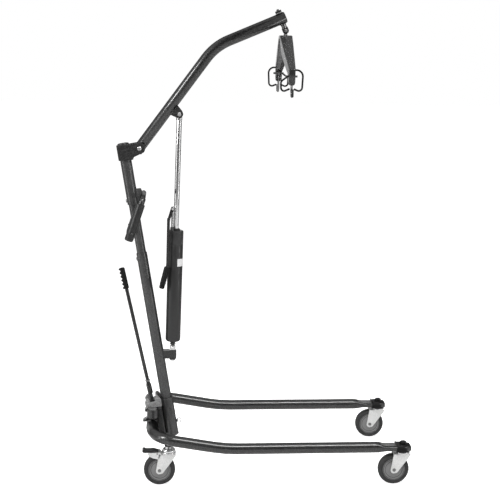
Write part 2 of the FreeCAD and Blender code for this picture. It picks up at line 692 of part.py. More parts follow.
bar_ends = [("handle_end_place", f"{sign}handle_half_width", "handle_end_height") for sign in ("-", "")]
bar_corners = [("handle_place", f"{sign}handle_half_width", "handle_height") for sign in ("-", "")]
handle_path = bent_path([bar_ends[0], bar_corners[0], bar_corners[1], bar_ends[1]],
                        ["handle_bend_radius", "handle_bend_radius"])
saddle = moved(cut(
    middle_box("22", "30", "60", "20", "sleeve_bottom + 3"),
    cylinder("sleeve_radius", "80", (0, 0, "sleeve_bottom - 5")),
), mast_frame)
handle_bar = cut(
    fuse(swept(handle_path, "handle_bar_radius"), saddle), swept(handle_path, "handle_bar_radius - 2"))
keep("push_handle", handle_bar)

arm_direction = (point(*bar_ends[0]) - point(*bar_corners[0])).normalize()
grips = []
for end in bar_ends:
    start = point(*end) - arm_direction * value("handle_grip_length")
    grip = turned([
        ("handle_bar_radius", "0"), ("handle_grip_radius - 4", "0"), ("handle_grip_radius", "5"),
        ("handle_grip_radius", "handle_grip_length - 26"),
        ("handle_grip_radius + 2", "handle_grip_length - 24"),
        ("handle_grip_radius + 2", "handle_grip_length - 20"),
        ("handle_grip_radius", "handle_grip_length - 18"),
        ("handle_grip_radius", "handle_grip_length + 2"),
        ("handle_grip_radius - 4", "handle_grip_length + 6"), ("0", "handle_grip_length + 7"),
        ("0", "handle_grip_length"), ("handle_bar_radius", "handle_grip_length"),
    ])
    grips.append(moved(grip, Placement(start, Rotation(Vector(0, 0, 1), arm_direction))))
keep("push_handle_grips", fuse(*grips))


# ---------------------------------------------------------------- boom

boom_start = low_boom_frame.multVec(point("-boom_tail", 0, 0))
boom_end = high_boom_frame.multVec(point("boom_high_length", 0, 0))
boom_inner_end = high_boom_frame.multVec(point("boom_high_length - 3", 0, 0))


def boom_path(last):
    corners = [(spot.x, spot.y, spot.z) for spot in (boom_start, boom_elbow, last)]
    return bent_path(corners, ["boom_bend_radius"])


lug_depth = "2 * lug_half_gap + 2 * lug_plate"
lug_plates = fuse(
    side_plate([
        ("lug_place - lug_radius", "-lug_drop"), ("lug_place + lug_radius", "-lug_drop"),
        ("lug_place + lug_radius + 9", "-12"), ("lug_place - lug_radius - 9", "-12"),
    ], lug_depth),
    cylinder("lug_radius", lug_depth, ("lug_place", f"-({lug_depth}) / 2", "-lug_drop"), "Y"),
)
lug_gap = middle_box("100", "2 * lug_half_gap", "80", "lug_place - 50", "-boom_radius - 60")
lug_bore = cylinder("foot_pin_radius", lug_depth, ("lug_place", f"-({lug_depth}) / 2", "-lug_drop"), "Y")
lug_pair = moved(cut(lug_plates, lug_gap, lug_bore), low_boom_frame)
bush = cylinder("boom_bush_radius", "2 * head_half_gap - 0.4",
                ("boom_pivot_place", "-head_half_gap + 0.2", "boom_pivot_height"), "Y")
bush_bore = cylinder("boom_bolt_radius + running_clearance", "2 * head_half_gap",
                     ("boom_pivot_place", "-head_half_gap", "boom_pivot_height"), "Y")
barrel_hole = moved(
    cylinder("barrel_radius", "2 * boom_radius + 10",
             ("boom_high_length - barrel_back", 0, "-boom_radius - 5")), high_boom_frame)
boom_shell = cut(fuse(swept(boom_path(boom_end), "boom_radius"), lug_pair),
                 swept(boom_path(boom_inner_end), "boom_radius - boom_wall"))
keep("boom", cut(fuse(boom_shell, bush), bush_bore, barrel_hole))

stub = "lug_plate + 3"
rod_end_bolt = moved(fuse(
    cylinder("foot_pin_radius", stub, ("lug_place", "lug_half_gap", "-lug_drop"), "Y"),
    cylinder("foot_pin_radius", stub, ("lug_place", f"-lug_half_gap - ({stub})", "-lug_drop"), "Y"),
    hexagon("9", "5.5", ("lug_place", "-lug_half_gap - lug_plate - 5.6", "-lug_drop"), "Y"),
    hexagon("9", "7", ("lug_place", "lug_half_gap + lug_plate + 0.1", "-lug_drop"), "Y"),
), low_boom_frame)
keep("rod_end_bolt", rod_end_bolt)

barrel_place = Placement(
    high_boom_frame.multVec(point("boom_high_length - barrel_back", 0, 0)), high_boom_frame.Rotation
)
hanger_barrel = cut(
    fuse(
        cylinder("barrel_radius", "barrel_rise + barrel_drop", (0, 0, "-barrel_drop")),
        cylinder("12", "16", (0, -8, "-barrel_drop"), "Y"),
        hexagon("13", "10", (0, 0, "barrel_rise")),
        cylinder("5", "15", (0, 0, "barrel_rise")),
    ),
    middle_box("40", "fork_slot", "24", "-20", "-barrel_drop - 13"),
    cylinder("hanger_pin_radius", "40", (0, -20, "-barrel_drop"), "Y"),
)
keep("hanger_barrel", moved(hanger_barrel, barrel_place))

pin_spot = (hanger_pin.x, hanger_pin.z)
keep("hanger_pin", fuse(
    cylinder("hanger_pin_radius", "22", (pin_spot[0], -11, pin_spot[1]), "Y"),
    cylinder("6.5", "3", (pin_spot[0], -13.5, pin_spot[1]), "Y"),
    cylinder("6.5", "3", (pin_spot[0], 10.5, pin_spot[1]), "Y"),
))

# The link hangs from the pin; its lower end is the swivel that the cradle turns on.
apex = f"{hanger_pin.z} - hanger_drop"
link = cut(
    fuse(
        cylinder("9", "fork_slot - 1", (pin_spot[0], "-(fork_slot - 1) / 2", pin_spot[1]), "Y"),
        middle_box("11", "fork_slot - 1", "14", f"{pin_spot[0]} - 5.5", f"{pin_spot[1]} - 16"),
        cylinder("8", "2", (pin_spot[0], 0, f"{apex} + 0.3")),
        cylinder("5", "14", (pin_spot[0], 0, f"{apex} - 11")),
        cylinder("9", "5", (pin_spot[0], 0, f"{apex} - cradle_plate - 5.3")),
    ),
    cylinder("hanger_pin_radius + running_clearance", "20", (pin_spot[0], -10, pin_spot[1]), "Y"),
)
keep("hanger_link", link)


# ---------------------------------------------------------------- cradle

def cradle_channel(inset, drop):
    """Half of the cradle's channel as a loft from the middle to the end of one arm.

    inset shrinks it all round; drop is how far the open side reaches below the web.
    """
    top = value(apex)
    span = value("cradle_half_span")
    knee = top - value("cradle_rise")
    end = knee - value("cradle_end")
    half_top = value("cradle_half_top")
    half_end = value("cradle_half_end")
    flare = value("cradle_flare")
    slope = math.atan2(value("cradle_rise"), span - 24)
    stations = [
        (0, top, 0, half_top, drop * 0.4),
        (24, top, slope / 2, half_top, drop * 0.45),
        (24 + (span - 24) * 0.3, top - value("cradle_rise") * 0.3, slope, half_top - 3, drop),
        (span, knee, (slope + math.pi / 2) / 2, half_end + 1, drop),
        (span, end, math.pi / 2, half_end, drop),
    ]
    sections = []
    for y, z, lean, half, depth in stations:
        miter = 1 / math.cos(lean - slope) if 0 < lean < math.pi / 2 and y == span else 1
        inward = Vector(0, -math.sin(lean), -math.cos(lean)) * miter
        web = Vector(0, y, z) + inward * inset
        lip = Vector(0, y, z) + inward * (depth + inset * 0.1)
        spread = half + flare * depth / value("cradle_lip")
        sections.append(Part.makePolygon([
            web + Vector(half - inset, 0, 0), lip + Vector(spread - inset, 0, 0),
            lip - Vector(spread - inset, 0, 0), web - Vector(half - inset, 0, 0),
            web + Vector(half - inset, 0, 0),
        ]))
    item = doc.addObject("Part::Feature", "CradleArm")
    item.Shape = Part.makeLoft(sections, True, True)
    return item


def at_cradle(item):
    return moved(item, Placement(Vector(hanger_pin.x, 0, 0), Rotation()))


outer_arm = cradle_channel(0, value("cradle_lip"))
inner_arm = cradle_channel(value("cradle_plate"), value("cradle_lip") + 2)
bolt_height = f"{apex} - cradle_rise - hook_bolt_drop"
bolt_track = "cradle_half_span - hook_bolt_inset"
bolt_bores = [
    cylinder("hook_bolt_radius", "60", (-30, y, bolt_height), "X")
    for y in (bolt_track, f"-({bolt_track})")
]
wire_holes = []
# On each side the high loop reaches one way along X and the low loop the other way.
for side, sign, forward, opposite in (("left", "", "-", ""), ("right", "-", "", "-")):
    track = f"{sign}({bolt_track})"
    wire_track = f"{sign}({bolt_track} + 9)"
    loop_top = f"{apex} - cradle_rise - 5"
    high_loop = bent_path([
        (f"{forward}(cradle_half_end + 1.5)", wire_track, loop_top),
        (f"{forward}43", wire_track, loop_top),
        (f"{forward}39", wire_track, f"{loop_top} - 84"),
        (f"{forward}11", wire_track, f"{loop_top} - 73"),
    ], ["24", "13"])
    low_loop = bent_path([
        (f"{opposite}(cradle_half_end + 1.5)", wire_track, f"{loop_top} - 22"),
        (f"{opposite}42", wire_track, f"{loop_top} - 43"),
        (f"{opposite}41", wire_track, f"{loop_top} - 85"),
        (f"{opposite}11", wire_track, f"{loop_top} - 72"),
    ], ["14", "12"])
    keep(f"{side}_wire_hooks", at_cradle(fuse(swept(high_loop, "wire_radius"), swept(low_loop, "wire_radius"))))
    wire_holes += [swept(high_loop, "wire_radius"), swept(low_loop, "wire_radius")]

    hook_path = bent_path([
        (0, track, f"{bolt_height} - 6"),
        (0, track, f"{bolt_height} - 76"),
        (0, f"{sign}({bolt_track} + 32)", f"{bolt_height} - 76"),
        (0, f"{sign}({bolt_track} + 32)", f"{bolt_height} - 52"),
    ], ["14", "14"])
    hook = cut(
        fuse(
            swept(hook_path, "hook_radius"),
            cylinder("hook_bolt_radius + 5", "9", ("-4.5", track, bolt_height), "X"),
            ball("hook_radius + 0.8", (0, f"{sign}({bolt_track} + 32)", f"{bolt_height} - 52")),
        ),
        cylinder("hook_bolt_radius + running_clearance", "20", (-10, track, bolt_height), "X"),
    )
    keep(f"{side}_centre_hook", at_cradle(hook))

cradle = cut(
    fuse(outer_arm, mirrored(outer_arm)),
    fuse(inner_arm, mirrored(inner_arm)),
    cylinder("5 + running_clearance", "20", (0, 0, f"{apex} - 10")),
    *bolt_bores,
    *wire_holes,
)
keep("cradle", at_cradle(cradle))

bolts = [
    cylinder("hook_bolt_radius", "2 * cradle_half_end + 20", ("-cradle_half_end - 10", y, bolt_height), "X")
    for y in (bolt_track, f"-({bolt_track})")
]
keep("hook_bolts", at_cradle(fuse(*bolts)))


# ---------------------------------------------------------------- pump

bracket = cut(
    fuse(
        middle_box("80", "32", "36", "pump_foot_place - 74", "pump_foot_height - 46"),
        cylinder("14", "42", ("pump_foot_place", 0, "pump_foot_height - 52")),
    ),
    moved(cylinder("mast_radius", "300", (0, 0, "250")), mast_frame),
    moved(middle_box("60", "60", "300", "-60", "250"), mast_frame),
    cylinder("8", "60", ("pump_foot_place", 0, "pump_foot_height - 60")),
)
keep("pump_bracket", bracket)

clevis = fuse(
    cut(
        middle_box("28", "26", "19.8", "pump_foot_place - 14", "pump_foot_height - 9.8"),
        middle_box("40", "12.4", "30", "pump_foot_place - 20", "pump_foot_height - 8.8"),
    ),
    cylinder("8", "40", ("pump_foot_place", 0, "pump_foot_height - 49")),
    cylinder("foot_pin_radius", "34", ("pump_foot_place", -17, "pump_foot_height"), "Y"),
    hexagon("8.5", "5", ("pump_foot_place", -19, "pump_foot_height"), "Y"),
    hexagon("8.5", "5", ("pump_foot_place", 14, "pump_foot_height"), "Y"),
)
keep("pump_clevis", clevis)

cylinder_shell = turned([
    ("0", "pump_bottom - 5"), ("12", "pump_bottom - 5"), ("12", "pump_bottom - 1"),
    ("pump_radius - 10", "pump_bottom"), ("pump_radius - 3", "pump_bottom + 3"),
    ("pump_radius", "pump_bottom + 9"), ("pump_radius", "pump_top - 3"),
    ("pump_radius - 3", "pump_top"), ("0", "pump_top"),
])
pump_parts = fuse(
    cylinder_shell,
    cylinder("rod_radius + 6", "7", (0, 0, "pump_top - 1")),
    cylinder("plunger_radius + 3", "15", ("plunger_x", "plunger_y", "pump_top - 1")),
    cylinder("8.8", "12", (0, -6, 0), "Y"),
    cylinder("6", "pump_bottom", (0, 0, "5")),
    hexagon("11.5", "7", (0, 0, "12")),
)
pump_tools = [
    cylinder("pump_bore", "pump_head_bottom - pump_bottom - 12", (0, 0, "pump_bottom + 12")),
    cylinder("rod_radius + running_clearance", "pump_top", (0, 0, "pump_head_bottom - 5")),
    cylinder("plunger_radius + running_clearance", "60", ("plunger_x", "plunger_y", "pump_head_bottom + 3")),
    cylinder("3 + running_clearance", "30", ("knob_x", "knob_y", "pump_top - 16")),
    cylinder("foot_pin_radius + running_clearance", "30", (0, -15, 0), "Y"),
]
keep("pump_cylinder", cut(pump_parts, *pump_tools), pump_frame)

rod = cut(
    fuse(
        cylinder("rod_radius", "pump_length - rod_eye_radius - piston_bottom + 3", (0, 0, "piston_bottom")),
        cylinder("pump_bore - running_clearance", "piston_length", (0, 0, "piston_bottom")),
        cylinder("rod_eye_radius", "rod_eye_width", (0, "-rod_eye_width / 2", "pump_length"), "Y"),
    ),
    cylinder("foot_pin_radius + 0.2", "40", (0, -20, "pump_length"), "Y"),
)
keep("pump_rod", rod, pump_frame)

plunger = fuse(
    cylinder("plunger_radius", "plunger_pin_height - pump_top + 24",
             ("plunger_x", "plunger_y", "pump_top - 24")),
    cylinder("7", "12", ("plunger_x", "plunger_y - 6", "plunger_pin_height"), "Y"),
    cylinder("3.5", "20", ("plunger_x", "plunger_y - 17", "plunger_pin_height"), "Y"),
)
keep("pump_plunger", plunger, pump_frame)

knob = turned([
    ("0", "pump_top - 14"), ("3", "pump_top - 14"), ("3", "pump_top + 10"), ("7", "pump_top + 10"),
    ("8", "pump_top + 12"), ("8", "pump_top + 20"), ("6.5", "pump_top + 22"), ("0", "pump_top + 22"),
])
keep("release_knob", moved(knob, Placement(point("knob_x", "knob_y", 0), Rotation())), pump_frame)

lever_track = "plunger_y - 20"
link_plate = side_plate([
    ("plunger_x - 2", "plunger_pin_height + 8"), ("plunger_x + 7", "plunger_pin_height + 4"),
    ("plunger_x + 6", "plunger_pin_height - 6"), ("plunger_x - 8", "plunger_pin_height - 42"),
    ("plunger_x - 11", "plunger_pin_height - 66"), ("plunger_x - 21", "plunger_pin_height - 66"),
    ("plunger_x - 20", "plunger_pin_height - 44"), ("plunger_x - 7", "plunger_pin_height + 4"),
], "4")
tube_path = bent_path([
    ("plunger_x - 16", lever_track, "plunger_pin_height - 40"),
    ("plunger_x - 15", lever_track, "plunger_pin_height - 235"),
    ("plunger_x - 37", lever_track, "plunger_pin_height - 331"),
], ["60"])
pump_lever = cut(
    fuse(
        moved(link_plate, Placement(point(0, "plunger_y - 8.5", 0), Rotation())),
        box("12", "14", "26", ("plunger_x - 22", "plunger_y - 22", "plunger_pin_height - 66")),
        swept(tube_path, "6"),
    ),
    cylinder("3.5 + running_clearance", "40", ("plunger_x", "plunger_y - 30", "plunger_pin_height"), "Y"),
)
keep("pump_lever", pump_lever, pump_frame)

lever_corner = point("plunger_x - 15", lever_track, "plunger_pin_height - 235")
lever_end = point("plunger_x - 37", lever_track, "plunger_pin_height - 331")
grip_heading = (lever_end - lever_corner).normalize()
grip_start = lever_corner + grip_heading * value("pump_grip_gap")
grip_length = (lever_end - grip_start).Length
pump_grip = turned([
    ("6", "0"), ("9", "0"), ("pump_grip_radius", "4"), ("pump_grip_radius", f"{grip_length} - 2"),
    ("8", f"{grip_length} + 5"), ("0", f"{grip_length} + 6"), ("0", grip_length), ("6", grip_length),
])
keep("pump_lever_grip",
     moved(pump_grip, Placement(grip_start, Rotation(Vector(0, 0, 1), grip_heading))), pump_frame)


# ---------------------------------------------------------------- checks and files

doc.recompute()
failed = [item.Name for item in doc.Objects if {"Invalid", "Error"} & set(item.State)]
if failed:
    raise RuntimeError(f"these objects failed: {failed}")
for label, item in parts.items():
    if item.Shape.isNull() or not item.Shape.isValid() or not item.Shape.Solids:
        raise RuntimeError(f"{label} has no valid solid")

os.makedirs("parts", exist_ok=True)
for label, item in parts.items():
    item.Shape.exportStep(f"parts/{label}.step")

whole = FreeCAD.BoundBox()
for item in parts.values():
    whole.add(item.Shape.optimalBoundingBox(True))
print(len(parts), "pieces, outer box", whole)
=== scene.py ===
"""Patient lift hoist: the visual model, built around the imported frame.

Shapes are written in millimetres in the frame's own axes and scaled to metres when a piece is made.
Places come from the frame's joints and boxes; lengths and radii are the hoist's own sizes.
"""
import bmesh
import bpy
import json
import math
from mathutils import Matrix, Vector

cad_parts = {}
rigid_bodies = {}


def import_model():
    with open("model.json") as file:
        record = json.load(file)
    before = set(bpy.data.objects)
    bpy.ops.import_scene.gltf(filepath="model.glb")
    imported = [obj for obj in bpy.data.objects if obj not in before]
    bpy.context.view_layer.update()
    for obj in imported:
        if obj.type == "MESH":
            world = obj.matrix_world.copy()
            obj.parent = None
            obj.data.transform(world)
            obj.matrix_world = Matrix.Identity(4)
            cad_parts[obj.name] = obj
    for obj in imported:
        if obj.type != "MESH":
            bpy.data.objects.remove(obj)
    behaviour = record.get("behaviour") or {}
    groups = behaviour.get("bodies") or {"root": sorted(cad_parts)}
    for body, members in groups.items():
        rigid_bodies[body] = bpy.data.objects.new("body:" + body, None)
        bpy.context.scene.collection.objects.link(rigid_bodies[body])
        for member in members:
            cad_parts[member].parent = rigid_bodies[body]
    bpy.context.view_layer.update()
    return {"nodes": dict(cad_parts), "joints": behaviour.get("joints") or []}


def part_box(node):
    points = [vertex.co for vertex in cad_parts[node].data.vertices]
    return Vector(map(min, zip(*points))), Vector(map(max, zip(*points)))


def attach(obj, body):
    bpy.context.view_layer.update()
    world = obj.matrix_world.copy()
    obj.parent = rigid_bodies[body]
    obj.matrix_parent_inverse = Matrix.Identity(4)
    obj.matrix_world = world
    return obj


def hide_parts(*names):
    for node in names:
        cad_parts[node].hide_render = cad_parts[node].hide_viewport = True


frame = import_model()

HERE = Matrix.Identity(4)
STEPS = 64
JOINTS = {joint["name"]: joint for joint in frame["joints"]}


def pivot(name):
    return Vector(JOINTS[name]["pos_m"]) * 1000


def box_of(node):
    low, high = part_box(node)
    return low * 1000, high * 1000


# ---------------- materials


def feed(tree, node, inputs):
    """Link each input that is given as a socket, and set the others."""
    for key, value in dict(inputs).items():
        if isinstance(value, bpy.types.NodeSocket):
            tree.links.new(value, node.inputs[key])
        else:
            node.inputs[key].default_value = value
    return node


def add_node(tree, kind, inputs=(), **settings):
    node = tree.nodes.new("ShaderNode" + kind)
    for key, value in settings.items():
        setattr(node, key, value)
    return feed(tree, node, inputs)


def reckon(tree, operation, *values):
    """The outcome of one sum."""
    return add_node(tree, "Math", enumerate(values), operation=operation).outputs["Value"]


def along_axis(tree, vector, axis):
    """How far a vector points along an axis."""
    return add_node(tree, "VectorMath", {0: vector, 1: axis}, operation="DOT_PRODUCT").outputs["Value"]


def ranged(tree, value, low, high, to_low=0, to_high=1, kind="LINEAR"):
    inputs = {"Value": value, "From Min": low, "From Max": high, "To Min": to_low, "To Max": to_high}
    return add_node(tree, "MapRange", inputs, interpolation_type=kind).outputs["Result"]


def mixed(tree, factor, first, second, blend="MIX"):
    inputs = {"Factor": factor, "A": first, "B": second}
    return add_node(tree, "Mix", inputs, data_type="RGBA", blend_type=blend).outputs["Result"]


def new_material(name):
    material = bpy.data.materials.new(name)
    material.use_nodes = True
    tree = material.node_tree
    return material, tree, next(node for node in tree.nodes if node.type == "BSDF_PRINCIPLED")


def grey(level, tint=(1, 1, 1)):
    return (level * tint[0], level * tint[1], level * tint[2], 1)


def finish(name, dark, light, rough, metal=0, tint=(1, 1, 1), cells=False, size=4, bump=0.0, coat=0.0,
           wear=0.0, wear_level=0.3, blotch=0.0, sharp=(0.35, 0.65), scratches=0.0, shine=0.5, painted_edge_shade=0.0):
    """A finish whose tone, gloss and surface follow one fine pattern and one broad one.

    dark and light are the two tones, rough the two roughnesses, size the pattern's size in mm and bump
    its height. wear lightens the edges, and painted_edge_shade paints shade: it darkens what is seen at a low
    angle and faces up.
    """
    material, tree, shader = new_material(name)
    place = add_node(tree, "TexCoord").outputs["Object"]
    if cells:
        drift = add_node(tree, "TexNoise", {"Vector": place, "Scale": 300 / size, "Detail": 3})
        moved = add_node(tree, "VectorMath", {0: drift.outputs["Color"], 1: (size * 0.0012,) * 3, 2: place},
                         operation="MULTIPLY_ADD")
        fine = add_node(tree, "TexVoronoi", {"Vector": moved.outputs["Vector"], "Smoothness": 0.35,
                                             "Scale": 1000 / size}, feature="SMOOTH_F1").outputs["Distance"]
    else:
        fine = add_node(tree, "TexNoise", {"Vector": place, "Scale": 1000 / size, "Detail": 4}).outputs["Fac"]
    broad = add_node(tree, "TexNoise", {"Vector": place, "Scale": 14, "Detail": 5}).outputs["Fac"]
    colour = mixed(tree, ranged(tree, fine, *sharp), grey(dark, tint), grey(light, tint))
    if blotch:
        colour = mixed(tree, blotch, colour, broad, "MULTIPLY")
    if wear:
        edge = ranged(tree, add_node(tree, "NewGeometry").outputs["Pointiness"], 0.53, 0.62, 0, wear)
        colour = mixed(tree, reckon(tree, "MULTIPLY", edge, broad), colour, grey(wear_level, tint))
    inputs = {"Metallic": metal, "Specular IOR Level": shine, "Coat Weight": coat, "Coat Roughness": 0.12,
              "Roughness": ranged(tree, broad, 0.3, 0.7, *rough)}
    # Painted shade: tone, gloss and coat are darkened on up-facing surfaces seen at a low angle, which gives
    # tubes dark top edges.
    if painted_edge_shade:
        turned = ranged(tree, add_node(tree, "LayerWeight").outputs["Facing"], 0.36, 0.66)
        upward = along_axis(tree, add_node(tree, "NewGeometry").outputs["Normal"], (0, 0, 1))
        strength = reckon(tree, "MULTIPLY", turned, ranged(tree, upward, -0.45, 0.1))
        kept = reckon(tree, "MULTIPLY_ADD", strength, -painted_edge_shade, 1)
        colour = mixed(tree, 1, colour, kept, "MULTIPLY")
        for key in ("Specular IOR Level", "Coat Weight"):
            inputs[key] = reckon(tree, "MULTIPLY", kept, inputs[key])
    height = fine
    if scratches:
        stretched = add_node(tree, "Mapping", {"Vector": place, "Scale": (1, 1, 0.04)}).outputs["Vector"]
        lines = add_node(tree, "TexNoise", {"Vector": stretched, "Scale": 900}).outputs["Fac"]
        height = reckon(tree, "MULTIPLY_ADD", lines, scratches, fine)
    relief = add_node(tree, "Bump", {"Height": height, "Strength": 0.6, "Distance": bump / 1000})
    inputs.update({"Base Color": colour, "Normal": relief.outputs["Normal"]})
    feed(tree, shader, inputs)
    return material


# The last setting paints shade along the tubes' upper edges.
PAINT = finish("hammertone_paint", 0.003, 0.034, (0.27, 0.38), cells=True, size=4.6,
               bump=0.6, coat=0.85, wear=0.3, wear_level=0.2, blotch=0.2, sharp=(0.25, 0.7), painted_edge_shade=0.93)
FLAT_PAINT = finish("hammertone_plate", 0.004, 0.030, (0.30, 0.42), cells=True, size=4.6,
                    bump=0.5, coat=0.4, blotch=0.2, sharp=(0.25, 0.7), shine=0.4)
# Painted highlight: a light paint for the strips that stand for the highlights on the legs' flattened tops.
LEG_HIGHLIGHT_PAINT = finish("painted_highlight_paint", 0.20, 0.34, (0.26, 0.38), cells=True, bump=0.1, coat=0.5,
                blotch=0.2)
CRADLE_PAINT = finish("cradle_paint", 0.020, 0.036, (0.22, 0.28), cells=True, size=2.6,
                      bump=0.04, coat=0.1, blotch=0.25, wear=0.4, shine=0.25)
# Painted light: a much lighter copy of the cradle paint, laid inside the channel where the lamps leave it
# dark.
CRADLE_INSIDE_PAINTED_LIGHT = finish("cradle_inside", 0.15, 0.20, (0.40, 0.50), cells=True, size=2.6,
                       bump=0.04, blotch=0.25, shine=0.2)
PUMP_PAINT = finish("satin_paint", 0.019, 0.027, (0.30, 0.42), size=1.6, bump=0.05, coat=0.1,
                    blotch=0.2, wear=0.3)
BLACK_PAINT = finish("black_enamel", 0.008, 0.012, (0.18, 0.30), size=2.2, bump=0.06,
                     coat=0.3, wear=0.4, wear_level=0.15)
WIRE = finish("black_wire", 0.002, 0.005, (0.42, 0.55), size=1.5, bump=0.03, wear=0.3,
              wear_level=0.08, shine=0.25)
CHROME = finish("hard_chrome", 0.78, 0.84, (0.05, 0.12), metal=1, size=1.2, bump=0.004,
                blotch=0.08, scratches=0.4)
ZINC = finish("zinc_plate", 0.74, 0.86, (0.28, 0.42), metal=0.45, tint=(1, 1, 0.99), size=5,
              bump=0.02, blotch=0.12, scratches=0.8, wear=0.2, wear_level=0.9)
GATE_ZINC = finish("dull_zinc", 0.30, 0.52, (0.30, 0.45), metal=0.6, size=7, bump=0.03, blotch=0.25,
                   scratches=0.8, wear=0.3, wear_level=0.75)
BRIGHT_ZINC = finish("bright_zinc", 0.76, 0.88, (0.14, 0.26), metal=0.85, size=3, bump=0.01,
                     blotch=0.12)
DULL_STEEL = finish("dull_steel", 0.22, 0.32, (0.30, 0.42), metal=0.8, size=3, bump=0.02, blotch=0.2,
                    scratches=0.5)
PLASTIC = finish("black_plastic", 0.010, 0.016, (0.38, 0.52), size=0.7, bump=0.05,
                 blotch=0.15)
GRIP = finish("grip_vinyl", 0.012, 0.020, (0.36, 0.50), size=0.9, bump=0.08, blotch=0.2)
TYRE = finish("tyre_rubber", 0.024, 0.042, (0.55, 0.75), size=1.1, bump=0.07, blotch=0.35,
              wear=0.5, wear_level=0.11)
WHEEL = finish("wheel_plastic", 0.19, 0.24, (0.40, 0.52), size=1.0, bump=0.04, blotch=0.12,
               wear=0.3, wear_level=0.4)
LABEL = finish("blank_label", 0.70, 0.80, (0.35, 0.45), size=6, bump=0.01, blotch=0.1)


# ---------------- shells: lists of points and faces

def shifted(x=0, y=0, z=0):
    return Matrix.Translation((x, y, z))


def tilted(angle, axis="Y"):
    return Matrix.Rotation(math.radians(angle), 4, axis)


def along(direction):
    """Turns +Z to a direction."""
    return Vector(direction).to_track_quat("Z", "Y").to_matrix().to_4x4()


ACROSS = tilted(-90, "X")


def crossing(spot):
    """A place whose Z runs across the lift."""
    return Matrix.Translation(spot) @ ACROSS


def add_ring(points, spots):
    """Append the spots to the points, and give their numbers."""
    spots = list(spots)
    points.extend(spots)
    return list(range(len(points) - len(spots), len(points)))


def bridge(rings, closed=False):
    """Faces between rings of point numbers; a ring of one point is a tip."""
    faces = []
    count = max(len(ring) for ring in rings)
    pairs = list(zip(rings, rings[1:])) + ([(rings[-1], rings[0])] if closed else [])
    for low, high in pairs:
        for i in range(count):
            j = (i + 1) % count
            corners = [low[i % len(low)], low[j % len(low)], high[j % len(high)], high[i % len(high)]]
            corners = list(dict.fromkeys(corners))
            if len(corners) > 2:
                faces.append(corners)
    return faces


def capped(points, rings):
    return points, bridge(rings) + [list(reversed(rings[0])), list(rings[-1])]


def circle(count):
    """The cosine and sine of each step round a circle."""
    return [(math.cos(2 * math.pi * i / count), math.sin(2 * math.pi * i / count)) for i in range(count)]


def lathe(profile, at=HERE, steps=STEPS):
    """A solid of revolution about Z; a profile that leaves the axis alone is a closed ring."""
    points, rings = [], []
    for radius, height in profile:
        rings.append(add_ring(points, (at @ Vector((radius * c, radius * s, height))
                                       for c, s in circle(1 if radius < 1e-6 else steps))))
    closed = profile[0][0] > 1e-6 and profile[-1][0] > 1e-6
    return points, bridge(rings, closed)


def rod(radius, low, high, at=HERE, edge=0.8, steps=STEPS):
    """A round bar along Z with broken edges."""
    edge = min(edge, radius / 2, (high - low) / 3)
    return lathe([(0, low), (radius - edge, low), (radius - edge * 0.3, low + edge * 0.3),
                  (radius, low + edge), (radius, high - edge), (radius - edge * 0.3, high - edge * 0.3),
                  (radius - edge, high), (0, high)], at, steps)


def pipe(outer, inner, low, high, at=HERE, edge=0.5, steps=STEPS):
    return lathe([(inner, low), (outer - edge, low), (outer, low + edge), (outer, high - edge),
                  (outer - edge, high), (inner, high)], at, steps)


def hexagon(radius, low, high, at=HERE):
    """A six-sided head with its corners turned off."""
    turned = radius * 0.88
    rings = [(turned, low), (radius, low + (radius - turned) * 0.6),
             (radius, high - (radius - turned) * 0.6), (turned, high)]
    return lathe([(0, low)] + rings + [(0, high)], at, 6)


def bent(corners, radii, turn_step=7, run_step=1e9):
    """Points along straight runs that are joined by arcs."""
    corners = [Vector(corner) for corner in corners]
    path = [corners[0]]
    for before, corner, after, radius in zip(corners, corners[1:], corners[2:], radii):
        arrive, leave = (corner - before).normalized(), (after - corner).normalized()
        turn = arrive.angle(leave)
        trim = radius * math.tan(turn / 2)
        centre = corner + (leave - arrive).normalized() * (radius / math.cos(turn / 2))
        first = corner - arrive * trim - centre
        axis = arrive.cross(leave).normalized()
        count = max(2, math.ceil(math.degrees(turn) / turn_step))
        for i in range(count + 1):
            path.append(centre + Matrix.Rotation(turn * i / count, 3, axis) @ first)
    path.append(corners[-1])
    return path


def sweep(path, radius, at=HERE, steps=28, section=None, edge=0.7):
    """A bar along a path. section(number) may give the cross-section as (level, up) offsets."""
    path = [Vector(spot) for spot in path]
    count = len(path)
    heads = []
    for i in range(count):
        heads.append((path[min(i + 1, count - 1)] - path[max(i - 1, 0)]).normalized())
    side = heads[0].orthogonal().normalized() if abs(heads[0].y) > 0.9 else Vector((0, 1, 0))
    side = (side - heads[0] * side.dot(heads[0])).normalized()
    points, rings = [], []

    def add(centre, scale):
        offsets = section(number) if section else [(radius * c, radius * s) for c, s in circle(steps)]
        up = head.cross(side).normalized()
        rings.append(add_ring(points, (at @ (centre + side * (a * scale) + up * (b * scale))
                                       for a, b in offsets)))

    shrink = 1 - edge / radius
    for number, (centre, head) in enumerate(zip(path, heads)):
        side = Vector((-head.y, head.x, 0)) if section else side - head * side.dot(head)
        side.normalize()
        if number == 0:
            add(centre, shrink)
            add(centre + head * edge, 1)
        elif number == count - 1:
            add(centre - head * edge, 1)
            add(centre, shrink)
        else:
            add(centre, 1)
    return capped(points, rings)


